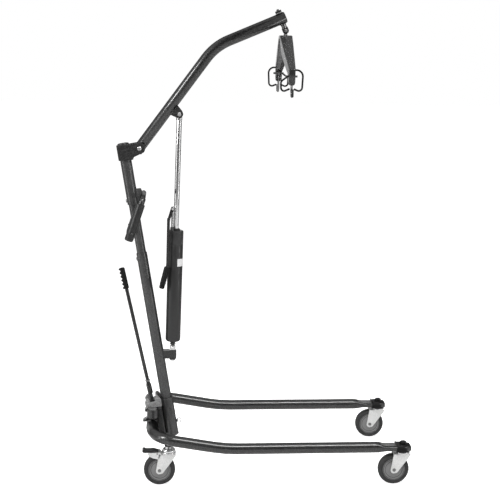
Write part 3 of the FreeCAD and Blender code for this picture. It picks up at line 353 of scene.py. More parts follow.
def rounded(corners, radii, steps=6):
    """An outline with its corners rounded; radii is one number or one per corner."""
    count = len(corners)
    radii = [radii] * count if isinstance(radii, (int, float)) else radii
    outline = []
    for i, radius in enumerate(radii):
        corner = Vector(corners[i])
        arrive = (corner - Vector(corners[i - 1])).normalized()
        leave = (Vector(corners[(i + 1) % count]) - corner).normalized()
        turn = arrive.angle(leave)
        if radius <= 0 or turn < 0.02:
            outline.append(tuple(corner))
            continue
        trim = radius * math.tan(turn / 2)
        centre = corner + (leave - arrive).normalized() * (radius / math.cos(turn / 2))
        start, end = corner - arrive * trim - centre, corner + leave * trim - centre
        for step in range(steps + 1):
            share = step / steps
            blend = start * math.sin((1 - share) * turn) + end * math.sin(share * turn)
            outline.append(tuple(centre + blend / math.sin(turn)))
    return outline


def arc(x, y, wide, high, angles):
    """Corners on part of an ellipse, at angles in degrees."""
    return [(x + wide * math.cos(math.radians(a)), y + high * math.sin(math.radians(a))) for a in angles]


def slab(outline, low, high, at=HERE, across=True):
    """An outline with thickness: (x, z) corners and y thickness, or (x, y) corners and z thickness."""
    def spot(a, b, depth):
        return Vector((a, depth, b)) if across else Vector((a, b, depth))
    count = len(outline)
    points = [at @ spot(*corner, low) for corner in outline]
    points += [at @ spot(*corner, high) for corner in outline]
    faces = [list(range(count)), list(reversed(range(count, 2 * count)))]
    faces += [[i, count + i, count + (i + 1) % count, (i + 1) % count] for i in range(count)]
    return points, faces


def plates(outline, inner, outer, at=HERE):
    """The same plate on both sides of the middle."""
    return [slab(outline, inner, outer, at), slab(outline, -outer, -inner, at)]


def block(low, high, at=HERE):
    (x0, y0, z0), (x1, y1, z1) = low, high
    return slab([(x0, z0), (x1, z0), (x1, z1), (x0, z1)], y0, y1, at)


def stacked(levels, at=HERE):
    """Closed outlines with the same number of corners, joined one above the next."""
    points, rings = [], []
    for outline, height in levels:
        rings.append(add_ring(points, (at @ Vector((x, y, height)) for x, y in outline)))
    return capped(points, rings)


def flipped(shell):
    """The same shell on the other side of the lift."""
    points, faces = shell
    return [Vector((p.x, -p.y, p.z)) for p in points], [list(reversed(face)) for face in faces]


# ---------------- pieces

def piece(name, body, material, shells, hides=None, bevel=0.0, sharp=34):
    """Make one object from its shells and let it ride on a body.

    It hides the node it stands for: the one given, or NODE when its name is NODE_visual.
    """
    points, faces = [], []
    for shell_points, shell_faces in shells:
        start = len(points)
        points += shell_points
        faces += [[start + number for number in face] for face in shell_faces]
    mesh = bpy.data.meshes.new(name)
    mesh.from_pydata([tuple(p * 0.001) for p in points], [], faces)
    mesh.validate()
    work = bmesh.new()
    work.from_mesh(mesh)
    bmesh.ops.recalc_face_normals(work, faces=work.faces)
    work.to_mesh(mesh)
    work.free()
    mesh.shade_smooth()
    mesh.set_sharp_from_angle(angle=math.radians(sharp))
    mesh.materials.append(material)
    item = bpy.data.objects.new(name, mesh)
    bpy.context.scene.collection.objects.link(item)
    if bevel:
        edges = item.modifiers.new("Edges", "BEVEL")
        edges.width = bevel * 0.001
        edges.segments = 3
        edges.limit_method = "ANGLE"
        edges.angle_limit = math.radians(sharp)
        edges.harden_normals = True
    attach(item, body)
    node = hides or name.removesuffix("_visual")
    if node in frame["nodes"]:
        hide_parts(node)


# ---------------- frames of the leaning pieces

MAST_LEAN = 9.3
LOW_BOOM, HIGH_BOOM = 53.5, 23.0
boom_pin = pivot("boom_lift")
pump_foot = pivot("pump_tilt")
hanger_pin = pivot("hanger_swing")
apex = pivot("cradle_turn")
lever_pin = pivot("spreader_swing")
pump_axis = Vector(JOINTS["piston_slide"]["axis"])
MAST = shifted(pump_foot.x, 0, 119) @ tilted(-MAST_LEAN)
PUMP = shifted(*pump_foot) @ tilted(math.degrees(math.atan2(pump_axis.x, pump_axis.z)))
LOW = shifted(*boom_pin) @ tilted(-LOW_BOOM)
PLUNGER = PUMP @ shifted(-16, -16)
elbow = LOW @ Vector((510, 0, 0))
HIGH = shifted(*elbow) @ tilted(-HIGH_BOOM)
TIP, STALK = 305, 286
TUBE, MAST_TUBE, INNER_TUBE, SLEEVE = 22.2, 22.2, 19.05, 23.0


# ---------------- casters

def caster(name, has_brake):
    stem = pivot(f"{name}_swivel_turn")
    axle = pivot(f"{name}_wheel_roll")
    ground = shifted(stem.x, stem.y, 0)
    hub = crossing(axle)
    wheel_body, fork_body = f"{name}_wheel", f"{name}_swivel"

    side = [(45, 14.2), (46.4, 15.6), (48.4, 16), (50.4, 16), (51.1, 15.0), (51.9, 14.7), (52.7, 15.0),
            (53.4, 16), (56.5, 15.8), (59.6, 14.6), (61.8, 12.2), (63.1, 8.6), (63.5, 3.0)]
    tyre = [(r, w) for r, w in side] + [(r, -w) for r, w in reversed(side)]
    piece(f"{name}_tyre_visual", wheel_body, TYRE, [lathe(tyre, hub, 96)], sharp=40)

    face = [(4.1, 18), (11.2, 18), (12, 17.2), (12.6, 14.6), (14.5, 13.4), (33, 12.6), (35, 13.0),
            (36.6, 14.2), (38.6, 14.4), (39.4, 13.5), (40.4, 13.5), (41.2, 14.6), (45, 14.2)]
    disc = face + [(r, -w) for r, w in reversed(face)]
    piece(f"{name}_wheel_visual", wheel_body, WHEEL, [lathe(disc, hub, 96)], hides=f"{name}_wheel_centre")

    # Dark rings either side of the wheel face's light ring: painted shade for the shadow in its grooves.
    rings = []
    for turn_over in (0, 180):
        at = hub @ tilted(turn_over, "X")
        rings += [pipe(43.4, 41.4, 13.8, 15.0, at, 0.3, 72), pipe(35.8, 34.2, 12.4, 13.9, at, 0.3, 72)]
    piece(f"{name}_wheel_rings", wheel_body, TYRE, rings)

    cheek = rounded([(29, 132), (29, 125), (-25, 50.5), (-47, 47), (-51.4, 62), (-40, 132)],
                    [0, 3, 9, 12, 11, 0], 8)
    shells = plates(cheek, 19, 22, ground)
    roof = rounded([(29, -22), (29, 22), (-41, 22), (-41, -22)], [20, 20, 0, 0], 8)
    shells.append(slab(roof, 129, 132, ground, across=False))
    if has_brake:
        guard = rounded([(-30, 133), (-36, 141), (-54, 139.5), (-86, 137.5), (-80, 124), (-62, 116),
                         (-40, 111)], [0, 3, 3, 3, 9, 16, 0], 6)
        shells += plates(guard, 19, 22, ground)
    piece(f"{name}_fork_visual", fork_body, ZINC, shells, bevel=0.9)
    race = [(6.1, 130), (26, 130), (28.6, 131), (29, 133), (29, 136), (28, 137.6), (26.4, 138), (25.6, 138.2)]
    if has_brake:
        race += [(25.4, 139.6), (27, 140.4), (27.4, 142.6), (26.4, 146.4), (23.6, 150.4), (20.6, 152.4),
                 (18.8, 152.6), (18.8, 142.4), (6.1, 142.4)]
    else:
        race += [(22.5, 140.4), (19, 141.9), (14, 142.6), (6.1, 142.6)]
    piece(f"{name}_race_visual", fork_body, BRIGHT_ZINC, [lathe(race, ground, 72)])

    bolt = [hexagon(5.8, -27.5, -22, hub), rod(7, -22.4, -21.4, hub, 0.2), rod(4, -23, 25, hub, 0.6, 24),
            rod(7, 21.9, 23, hub, 0.2), hexagon(5.8, 22.8, 28.2, hub)]
    piece(f"{name}_axle_visual", fork_body, DULL_STEEL, bolt, hides=f"{name}_axle_bolt")

    if has_brake:
        tread = rounded([(-40, 136), (-44, 142.5), (-60, 147.4), (-92, 146.6), (-99.5, 150.6), (-106, 149.4),
                         (-106, 140), (-96, 137.2), (-60, 138.2), (-50, 131.5), (-44, 130.4)],
                        [3, 4, 10, 5, 3, 3, 3, 4, 4, 4, 2], 5)
        shells = [slab(tread, -17, 17, ground)]
        for number in range(6):
            x = -91 + 6.2 * number
            shells.append(block((x, -13.5, 146.2), (x + 2.6, 13.5, 148.2), ground))
        piece(f"{name}_pedal_visual", f"{name}_brake", PLASTIC, shells, hides=f"{name}_brake_pedal",
              bevel=1.1)
        pin = ground @ shifted(-46, 0, 136) @ ACROSS
        rods = [rod(3, -24, 24, pin, 0.8, 24)]
        rods += [rod(5, low, low + 1.8, pin, 0.6, 24) for low in (-24, 22.2)]
        piece(f"{name}_pedal_pin", fork_body, BRIGHT_ZINC, rods)


for side in ("left", "right"):
    caster(f"{side}_front", False)
    caster(f"{side}_rear", True)


# ---------------- legs

LEG_RADIUS, LEG_HEIGHT = 22.225, 154.0
FLAT_HALF_WIDTH, FLAT_HALF_HEIGHT = 28.9, 10.5
ROUND_UNTIL, FLAT_FROM, LEG_NOSE = -115, -70, 29


def leg_section(x, front_stem):
    """Half width, half height and squareness of the tube, which is pressed flat near its front end."""
    share = min(max((x - front_stem.x - ROUND_UNTIL) / (FLAT_FROM - ROUND_UNTIL), 0), 1)
    share = share * share * (3 - 2 * share)
    return (LEG_RADIUS + (FLAT_HALF_WIDTH - LEG_RADIUS) * share,
            LEG_RADIUS + (FLAT_HALF_HEIGHT - LEG_RADIUS) * share, 2 + 3.2 * share)


def leg_shells(pin, front_stem, rear_stem):
    """The left leg: one tube from the hub to its flattened front end."""
    track = front_stem.y
    round_end, flat_start, flat_end = (front_stem.x + x for x in (ROUND_UNTIL, FLAT_FROM, LEG_NOSE))
    path = bent([pin, (pin.x + 15, track, 202.5), (front_stem.x - 726, track, LEG_HEIGHT),
                 (flat_end, track, LEG_HEIGHT)], [88, 580])[:-1]
    run = []
    x = path[-1].x + 40
    while x < round_end:
        run.append(x)
        x += 80
    run += [round_end + (flat_start - round_end) * i / 14 for i in range(15)]
    run += [flat_start + (flat_end - flat_start) * i / 4 for i in range(1, 5)]
    path += [Vector((x, track, LEG_HEIGHT)) for x in run]

    def section(number):
        half_width, half_height, power = leg_section(path[number].x, front_stem)
        return [(half_width * math.copysign(abs(c) ** (2 / power), c),
                 half_height * math.copysign(abs(s) ** (2 / power), s)) for c, s in circle(40)]

    tube = sweep(path, LEG_RADIUS, section=section, edge=0.6)
    hub = lathe([(0, 160.5), (21.6, 160.5), (23, 161.9), (23, 204.1), (21.6, 205.5), (0, 205.5)],
                shifted(pin.x, pin.y))
    boss = lathe([(0, 160.4), (15.6, 160.4), (17, 161.8), (17, 190), (0, 190)],
                 shifted(rear_stem.x, rear_stem.y))
    return [tube, hub, boss]


def painted_highlight_lines(stem):
    """Three light strips along the top of the flattened end: painted highlights where its pressed ridges
    catch the light.
    """
    strip = [(-2.6, -0.6), (2.6, -0.6), (2.6, 0.5), (-2.6, 0.5)]
    lines = []
    for offset in (-14, -2, 11):
        path = []
        for x in range(-94, -18, 5):
            width, height, power = leg_section(stem.x + x, stem)
            rise = height * (1 - (abs(offset) / width) ** power) ** (1 / power)
            path.append((stem.x + x, stem.y + offset, LEG_HEIGHT + rise - 0.2))
        lines.append(sweep(path, 2, section=lambda number: strip, edge=0.3))
    return lines


def cap_outline(rear, nose, half, centre_x, track):
    """A plan outline: square behind, round in front."""
    back, near, far = centre_x + rear, track - half, track + half
    outline = arc(centre_x, track, nose, half, [-90 + 180 * i / 32 for i in range(33)])
    return outline + [(back + 6, far), (back + 1.5, far - 1.5), (back, far - 6), (back, near + 6),
                      (back + 1.5, near + 1.5), (back + 6, near)]


def leg_cap(stem):
    """A moulded cap: each level has its back edge, its nose, its half width and its height."""
    x = stem.x - 8
    shape = [(-22.5, 36, 28, 139.4), (-23.3, 39, 31.6, 140.6), (-23.3, 41.2, 32.7, 147),
             (-23.3, 42.4, 33, 153), (-23.3, 41.8, 32.8, 155.2), (-23.2, 38.6, 31, 158.4),
             (-23, 33, 28.5, 163.4), (-22.6, 27, 26, 167.2), (-21.6, 24.4, 24.6, 168.4)]
    levels = [(cap_outline(rear, nose, half, x, stem.y), z) for rear, nose, half, z in shape]
    lug = [(0, 166), (15.6, 166), (15.2, 171), (14.2, 177.4), (12.2, 179.1), (0, 179.1)]
    ridge = block((x - 23.3, stem.y - 22, 166.6), (x - 19.4, stem.y + 22, 172.6))
    return [stacked(levels), lathe(lug, shifted(stem.x, stem.y), 6), ridge]


pin, front, rear = (pivot(f"left_{name}") for name in ("leg_open", "front_swivel_turn", "rear_swivel_turn"))
arm_bottom, arm_top = 196.5, 202.5
for side, reach in (("left", 1), ("right", -1)):
    near, far = pin.x + reach * 12, pin.x + reach * 40
    arm = rounded([(near, pin.y - 9), (far, pin.y - 9), (far, pin.y + 9), (near, pin.y + 9)], [0, 4, 4, 0])
    shells = leg_shells(pin, front, rear) + [slab(arm, arm_bottom, arm_top, across=False)]
    cap, lines, collars = leg_cap(front), painted_highlight_lines(front), []
    for stem, foot, width, top, width_top in ((front, 142.8, 15, 146, 13), (rear, 142.8, 18.4, 161, 13)):
        spot = shifted(stem.x, stem.y)
        collars.append(lathe([(0, foot), (width, foot), (width, foot + 1.4), (width - 1.2, foot + 4),
                              (width_top + 1.2, top - 4), (width_top, top - 1), (width_top, top), (0, top)]
                             if top - foot > 8 else
                             [(0, foot), (width, foot), (width, foot + 1), (width_top, top), (0, top)], spot))
        collars += [rod(6, 124.2, top, spot, 0.6, 32), rod(11, 124.2, 128, spot, 0.8, 32)]
    if side == "right":
        shells, cap, lines, collars = ([flipped(shell) for shell in row]
                                       for row in (shells, cap, lines, collars))
    body = f"{side}_leg_frame"
    piece(f"{side}_leg_visual", body, PAINT, shells, sharp=50)
    # Light strips on the flattened top: painted highlights.
    piece(f"{side}_leg_rubbed_lines", body, LEG_HIGHLIGHT_PAINT, lines)
    piece(f"{side}_leg_cap_visual", body, WIRE, cap, bevel=0.9, sharp=30)
    piece(f"{side}_stems_visual", body, BRIGHT_ZINC, collars, hides=f"{side}_caster_stems")


# ---------------- base carrier and spreader

BASE = "base_and_mast"
px = lever_pin.x
half_track = pivot("left_leg_open").y


def soft_box(low, high, at=HERE, corner=3.0):
    """A box with rounded upright corners."""
    (x0, y0, z0), (x1, y1, z1) = low, high
    plan = rounded([(x0, y0), (x1, y0), (x1, y1), (x0, y1)], corner, 4)
    return slab(plan, z0, z1, at, across=False)


barrel = [(12.2, 210.5), (21.4, 210.5), (23, 212), (23, 248.4), (21.4, 250), (12.2, 250)]
shells = [lathe(barrel, shifted(px, side * half_track)) for side in (1, -1)]
shells.append(soft_box((px - 23, -half_track + 14, 216), (px + 23, half_track - 14, 246), corner=2))
piece("carrier_beam", BASE, PAINT, shells, hides="base_carrier", bevel=1.0)
piece("carrier_box", BASE, FLAT_PAINT, [soft_box((-53, -32, 14), (-24.5, 32, 130), MAST, 5)], bevel=1.4)
pins = []
for side in (1, -1):
    spot = shifted(px, side * half_track)
    pins += [rod(12, 157, 246, spot, 1.5), hexagon(18, 152.4, 160.3, spot),
             rod(13.5, 205.7, 210.3, spot, 0.5),
             lathe([(0, 244), (17.5, 246), (19, 250.4), (15, 253.4), (8, 255), (0, 255.4)], spot)]
piece("leg_pivots_visual", BASE, DULL_STEEL, pins, hides="leg_pivot_bolts")

bar = [(-39, -50), (-35, -57), (-27, -57.5), (-21.5, -51), (39, 50), (35, 57), (27, 57.5), (22, 51)]
bar = slab(rounded([(px + x, y) for x, y in bar], 3, 3), 206, 210, across=False)
pins = [rod(5, 196.5, 211.5, shifted(px + reach * 30, reach * half_track), 0.6, 32) for reach in (1, -1)]
piece("spreader_bar_visual", "spreader_bar", GATE_ZINC, [bar] + pins, hides="shift_bar", bevel=0.6)

LEVER_PIN = shifted(*lever_pin) @ tilted(90)
gate_low, gate_high = box_of("shift_gate")
back, front, low, high = gate_low.x, gate_high.x, gate_low.z, gate_high.z
middle = Vector(((back + front) / 2, 0, (low + high) / 2))
GATE = shifted(*middle) @ tilted(-MAST_LEAN) @ shifted(*-middle)
cheek = rounded([(back + 4, low), (front - 4, low), (front - 3, high - 22), (front - 14, high - 3),
                 (px + 13, high - 6), (px + 11, low + 25), (px - 11, low + 25), (px - 13, high - 9),
                 (back + 10, high - 12), (back + 2, high - 24)],
                [2, 2, 6, 6, 5, 5, 5, 5, 6, 6], 5)
shells = plates(cheek, 33, 36, GATE)
shells += [block((back + 4, -34, low), (front - 4, 34, low + 3), GATE),
           block((back + 4, -34, low), (back + 7, 34, low + 16), GATE)]
for y in (-28.5, 28.5):
    shells += [block((px + 16, y - 5.5, high - 6), (front - 16, y + 5.5, high - 3), GATE),
               block((back + 12, y - 5.5, high - 15), (px - 16, y + 5.5, high - 12), GATE)]
lug = rounded([(-11, low), (11, low), (11, 266), (6, 273), (-6, 273), (-11, 266)], [0, 0, 4, 4, 4, 4])
for x in (-16, 13):
    shells.append(slab([(y, z) for y, z in lug], x, x + 3, shifted(px) @ tilted(-90, "Z")))
shells += [rod(3, -19, 19, LEVER_PIN, 0.6, 24), rod(5.2, 16.2, 19.4, LEVER_PIN, 0.8, 24)]
for y, lean in ((36, 1), (-36, -1)):
    for x, z in ((back + 14, low + 10), (front - 14, low + 10)):
        shells.append(hexagon(5.4, 0, 3.4, GATE @ shifted(x, y, z) @ tilted(-90 * lean, "X")))
piece("gate_visual", BASE, GATE_ZINC, shells, hides="shift_gate", bevel=0.5)

LEVER = shifted(*lever_pin) @ tilted(-12.3)
lever = [rod(7.5, 60, 560, LEVER, 1), rod(11, 42, 78, LEVER, 1.2),
         lathe([(0, 77), (11, 77), (10.4, 82), (8.2, 90), (7.5, 95), (0, 95)], LEVER),
         rod(7.5, 0, 46, LEVER, 1), rod(11, -6, 6, LEVER_PIN, 1),
         soft_box((-11, -12, -12), (11, 12, 14), LEVER, 3),
         rod(6, 209, 262, shifted(px, 0), 0.8, 32),
         lathe([(0, 204.8), (2.2, 205.4), (3.7, 207), (4.2, 209), (3.7, 211), (0, 212)], shifted(px))]
piece("spreader_lever_visual", "spreader_lever", BLACK_PAINT, lever, hides="shift_lever")
washer = [lathe([(7.6, 96), (9.4, 96), (10, 97), (10, 101), (9.2, 102.4), (7.6, 102.6)], LEVER)]
piece("spreader_lever_collar", "spreader_lever", DULL_STEEL, washer)


def finger_grip(low, length, count):
    """A moulded grip: smooth in front, ridged for the fingers behind."""
    points, rings = [], []
    stations, margin = 90, 6
    for i in range(stations + 1):
        z = length * i / stations
        wave = 0
        if margin < z < length - margin:
            wave = 0.5 - 0.5 * math.cos(2 * math.pi * count * (z - margin) / (length - 2 * margin))
        end = min(1, z / 3.5, (length - z) / 5)
        rounding = math.sqrt(max(0.02, 1 - (1 - end) ** 2))
        spots = []
        for c, s in circle(36):
            behind = max(0.0, -c) ** 1.4
            radius = (11.2 + 3.2 * behind - 5.4 * behind * wave) * rounding
            spots.append(LEVER @ Vector((radius * c, radius * 0.92 * s, low + z)))
        rings.append(add_ring(points, spots))
    return capped(points, rings)


piece("spreader_grip_visual", "spreader_lever", WIRE, [finger_grip(503.5, 92, 5)], hides="shift_lever_grip",
      sharp=60)


# ---------------- mast

for name, node, outer, inner, low, high, edge in (
        ("mast_socket", "mast_socket", 27, 22.25, 0, 168, 1.2),
        ("lower_tube", "lower_mast_tube", MAST_TUBE, 20.2, 3, 798, 0.8),
        ("inner_tube", "inner_mast_tube", INNER_TUBE, 16.6, 640, 1200, 0.6),
        ("sleeve", "upper_mast_sleeve", SLEEVE, INNER_TUBE + 0.05, 1003, 1249, 1.0)):
    piece(f"{name}_visual", BASE, PAINT, [pipe(outer, inner, low, high, MAST, edge)], hides=node)
cap = [(0, 1247), (23.3, 1247), (23.5, 1249.6), (23.5, 1251.6), (22, 1254), (18, 1255.6), (0, 1256)]
piece("mast_cap_visual", BASE, PLASTIC, [lathe(cap, MAST)], hides="mast_top_cap")
screws = []
for z, radius in ((1020, SLEEVE), (775, MAST_TUBE)):
    at = MAST @ shifted(-radius, 0, z) @ tilted(-90)
    screws += [hexagon(7, 0.4, 4.6, at), rod(4, -13, 2, at, 0.4, 24), rod(7.6, -0.2, 0.9, at, 0.3, 32)]
piece("mast_screws_visual", BASE, BRIGHT_ZINC, screws)
at = MAST @ shifted(0, 0, 57) @ tilted(90)
wire = sweep(bent([(32, 0, 57), (32, 0, 69), (46, 0, 66), (44, 0, 50), (37, 0, 48)], [4, 5, 5]), 1.5, MAST,
             steps=12, edge=0.3)
pin = [rod(5, -8, 32, at, 0.8, 32), rod(6.5, 27.5, 32.5, at, 1, 32), wire]
piece("lock_pin_visual", BASE, DULL_STEEL, pin, hides="socket_lock_pin")

x, z = boom_pin.x, boom_pin.z
head = rounded([(x - 92.6, z + 12), (x - 79.6, z - 52), (x - 15, z - 45)], [3, 6, 5], 5)
head += arc(x, z, 24, 24, range(-44, 91, 9))
shells = plates(head, 24.6, 29)
band = [(27.2, 1186), (29, 1187.5), (29, 1248.4), (27.2, 1250), (23.1, 1250), (23.1, 1186)]
shells.append(lathe(band, MAST, 72))
gusset = rounded([(x - 60, z - 49.8), (x - 22, z - 45), (x - 30, z - 38), (x - 60, z - 42)], 2, 3)
shells.append(slab(gusset, -25, 25))
piece("boom_head_visual", BASE, FLAT_PAINT, shells, hides="boom_head_bracket", bevel=1.0, sharp=30)
at = crossing(boom_pin)
shells = [hexagon(8, -36.8, -30.6, at), rod(8.6, -30.9, -29.1, at, 0.4), rod(6, -30, 41, at, 1.2, 32),
          rod(8.6, 29.1, 30.9, at, 0.4), hexagon(8, 30.8, 39.6, at)]
piece("boom_bolt_visual", BASE, BRIGHT_ZINC, shells, hides="boom_pivot_bolt")


# ---------------- push handle

SHIFT = pump_foot.x - 17
top, end = Vector((SHIFT - 104, 95, 1146)), Vector((SHIFT - 160, 95, 978))
mirror = Vector((1, -1, 1))
path = bent([end * mirror, top * mirror, top, end], [26, 26], run_step=60)
saddle = slab(rounded([(18, 1006), (40, 1006), (44, 1020), (44, 1052), (40, 1063), (18, 1063)],
                      [0, 4, 8, 8, 4, 0]), -12, 12, MAST)
piece("push_handle_visual", BASE, PAINT, [sweep(path, 11, steps=32), saddle])
down = (end - top).normalized()
grip = [(0, 1), (11.2, 1), (13.4, 0), (15.6, 0.4), (17.4, 2), (18, 4.4), (18, 120), (18.4, 122),
        (19.8, 123.6), (20, 125.4), (19.8, 127.2), (18.4, 128.8), (18, 131), (18, 150), (17.6, 153.6),
        (16.2, 156.4), (14, 158), (8, 158.8), (0, 159)]
shells, rings = [], []
for sign in (1, -1):
    flip = Vector((1, sign, 1))
    start = (end - down * 152) * flip
    at = shifted(*start) @ along(down * flip)
    shells.append(lathe(grip, at))
    for number in range(9):
        z = 12 + 11.5 * number
        rings.append(lathe([(17.9, z), (18.35, z + 0.8), (18.35, z + 2.4), (17.9, z + 3.2)], at))
piece("push_grips_visual", BASE, GRIP, shells + rings, hides="push_handle_grips")


# ---------------- boom and its hanger

ARM = "boom_arm"
start, tip = LOW @ Vector((-18, 0, 0)), HIGH @ Vector((TIP, 0, 0))
lug = rounded([(189, -48), (197, -62.3), (216, -62.3), (224, -48), (231, -20), (183, -20)],
              [10, 12, 12, 10, 0, 0], 6)
shells = [sweep(bent([start, elbow, tip], [220], turn_step=3), TUBE, steps=56, edge=1.2),
          rod(9.5, -24.4, 24.4, crossing(boom_pin), 0.5)]
stalk = HIGH @ shifted(STALK)
collar = [(10.6, 20.4), (14.6, 20.8), (15.4, 22.6), (13.2, 24), (10.6, 24.2)]
shells += [lathe([(radius, sign * height) for radius, height in collar], stalk) for sign in (1, -1)]
piece("boom_visual", ARM, PAINT, shells, sharp=45)
piece("rod_lug_visual", ARM, FLAT_PAINT, plates(lug, 12, 17, LOW), bevel=0.8)
plug = [rod(20.6, -2, 1.6, HIGH @ shifted(TIP - 0.4) @ tilted(90), 1.2)]
piece("boom_end_plug", ARM, PLASTIC, plug)
at = LOW @ shifted(206.7, 0, -47.3) @ ACROSS
shells = [hexagon(7.4, -22.6, -17.2, at), rod(5, -19, -12, at, 0.4, 24), rod(5, 12, 24.5, at, 0.8, 24),
          hexagon(7.4, 17.2, 23.2, at), rod(8, -17.9, -17, at, 0.3, 32), rod(8, 17, 17.9, at, 0.3, 32)]
piece("rod_end_bolt_visual", ARM, GATE_ZINC, shells)

shells = [lathe([(0, 24), (10.5, 24), (10.5, -36), (12, -39), (12, -40), (0, -40)], stalk),
          hexagon(13, 25, 34.6, stalk), rod(5, 33, 40, stalk, 1, 24)]
ear = rounded([(-12, -38), (12, -38), (12, -54), (7, -61.6), (-7, -61.6), (-12, -54)], [0, 0, 5, 5, 5, 5])
shells += plates(ear, 4, 9.6, stalk)
piece("hanger_barrel_visual", ARM, BLACK_PAINT, shells, bevel=0.7)
at = crossing(hanger_pin)
pin = [rod(4, -13, 13, at, 0.8, 24), rod(6.5, -13.5, -10.2, at, 0.8, 32), rod(6.5, 10.2, 13.5, at, 0.8, 32)]
piece("hanger_pin_visual", ARM, DULL_STEEL, pin)

x, z, top_z = hanger_pin.x, hanger_pin.z, apex.z
neck = rounded([(x - 9, z + 2), (x - 6, z + 9), (x + 6, z + 9), (x + 9, z + 2), (x + 6.4, z - 16),
                (x - 6.4, z - 16)], [6, 6, 6, 6, 1, 1])
swivel = shifted(x, 0, 0)
shells = [slab(neck, -3.5, 3.5), rod(8, top_z + 0.3, top_z + 3.4, swivel, 0.7, 40),
          rod(5, top_z - 11, top_z + 4, swivel, 0.6, 32), hexagon(9, top_z - 9, top_z - 3.8, swivel)]
piece("hanger_link_visual", "hanger", DULL_STEEL, shells, bevel=0.8)


# ---------------- sling cradle and its hooks

CRADLE = shifted(*apex)
RISE, SPAN, TAIL, FOLD = 127, 277, 63, 24
PLAIN_UNTIL, DEEPEST, END_DEPTH = 33, 99.9, 32
SLOPE = math.atan2(RISE, SPAN - FOLD)
BOLT_TRACK, BOLT_DROP = 258, 156


def cradle_stations():
    """One arm from its middle to its end: web point, lip point (both y, z) and half width."""
    stations = []

    def add(y, z, lean, depth, half):
        stations.append(((y, z), (y - math.sin(lean) * depth, z - math.cos(lean) * depth), half, depth))

    for y in (0, 8, 15):
        add(y, 0, 0, 12.8 + y * 0.07, 25)
    for step in range(1, 6):
        share = step / 6
        y = 15 + 18 * share
        add(y, -4.6 * share * share, SLOPE * share, 13.8 + 4 * share, 25)
    for step in range(1, 9):
        share = step / 8
        y = PLAIN_UNTIL + (DEEPEST - PLAIN_UNTIL) * share
        add(y, -(y - FOLD) * RISE / (SPAN - FOLD), SLOPE, 19 + 21 * share, 24.6 - 2.6 * share)
    for step in range(1, 11):
        share = step / 10
        y = DEEPEST + (SPAN - 9 - DEEPEST) * share
        add(y, -(y - FOLD) * RISE / (SPAN - FOLD), SLOPE, 40 - 8 * share * share, 22 - 8.6 * share)
    turn = math.pi / 2 - SLOPE
    lean = (SLOPE + math.pi / 2) / 2
    corner_y = SPAN - math.sin(lean) * END_DEPTH / math.cos(turn / 2)
    corner_z = -RISE - math.cos(lean) * END_DEPTH / math.cos(turn / 2)
    radius, trim = 14, 14 * math.tan(turn / 2)
    for step in range(9):
        angle = SLOPE + turn * step / 8
        y = SPAN - radius + radius * math.sin(angle)
        z = -RISE - trim + radius * math.cos(angle)
        stations.append(((y, z), (corner_y, corner_z), 13.2 - 0.4 * step / 8, END_DEPTH))
    low = -RISE - TAIL
    for z in (-160, -174):
        add(SPAN, z, math.pi / 2, END_DEPTH, 12.6 - (-150 - z) * 0.01)
    for step in range(9):
        share = math.sin(math.pi / 2 * step / 8)
        narrow = math.sqrt(max(0, 1 - share * share))
        add(SPAN, low + 12 * (1 - share), math.pi / 2, END_DEPTH - 13 * (1 - narrow), 4.2 + 8 * narrow)
    return stations


def cradle_shell(painted_light_skin=False):
    """The folded channel, or a thin lighter sheet just inside it that carries painted light."""
    half_run = cradle_stations()
    run = [((-w[0], w[1]), (-lip[0], lip[1]), half, depth) for w, lip, half, depth in reversed(half_run[1:])]
    run += half_run
    points, rings = [], []
    for web, lip, half, depth in run:
        flare = 1.2 / END_DEPTH

        def spot(across, down):
            share = down / depth
            y, z = (a + (b - a) * share for a, b in zip(web, lip))
            return CRADLE @ Vector((across, y, z))

        outer = [(half + flare * depth, depth), (half + flare * 4, 4), (half - 0.2, 1.6), (half - 1.6, 0.4),
                 (half - 4, 0)]
        # coat is the outline of the thin lighter sheet, which is painted light and no real layer of paint.
        inner, coat = [
            [(half + flare * depth - plate, depth), (half - plate + flare * 4.4, 5),
             (half - plate + 0.2, plate + 0.6), (half - plate - 1, plate), (half - plate - 2.4, plate)]
            for plate in (3.5, 3.6)]
        if painted_light_skin:
            outer, inner = coat, [(x - 0.3, min(z + 0.3, depth)) for x, z in coat]
        ring = [spot(x, z) for x, z in outer] + [spot(-x, z) for x, z in reversed(outer)]
        ring += [spot(-x, z) for x, z in inner] + [spot(x, z) for x, z in reversed(inner)]
        rings.append(add_ring(points, ring))
    faces = bridge(rings)
    count = len(rings[0])
    for ring in (rings[0], rings[-1]):
        for i in range(count // 2 - 1):
            faces.append([ring[i], ring[i + 1], ring[count - 2 - i], ring[count - 1 - i]])
    return points, faces


piece("cradle_visual", "sling_cradle", CRADLE_PAINT, [cradle_shell()], bevel=0.5, sharp=50)
# A lighter sheet over the channel's inside: painted light where the lamps leave it dark.
piece("cradle_inside", "sling_cradle", CRADLE_INSIDE_PAINTED_LIGHT, [cradle_shell(painted_light_skin=True)], sharp=50)

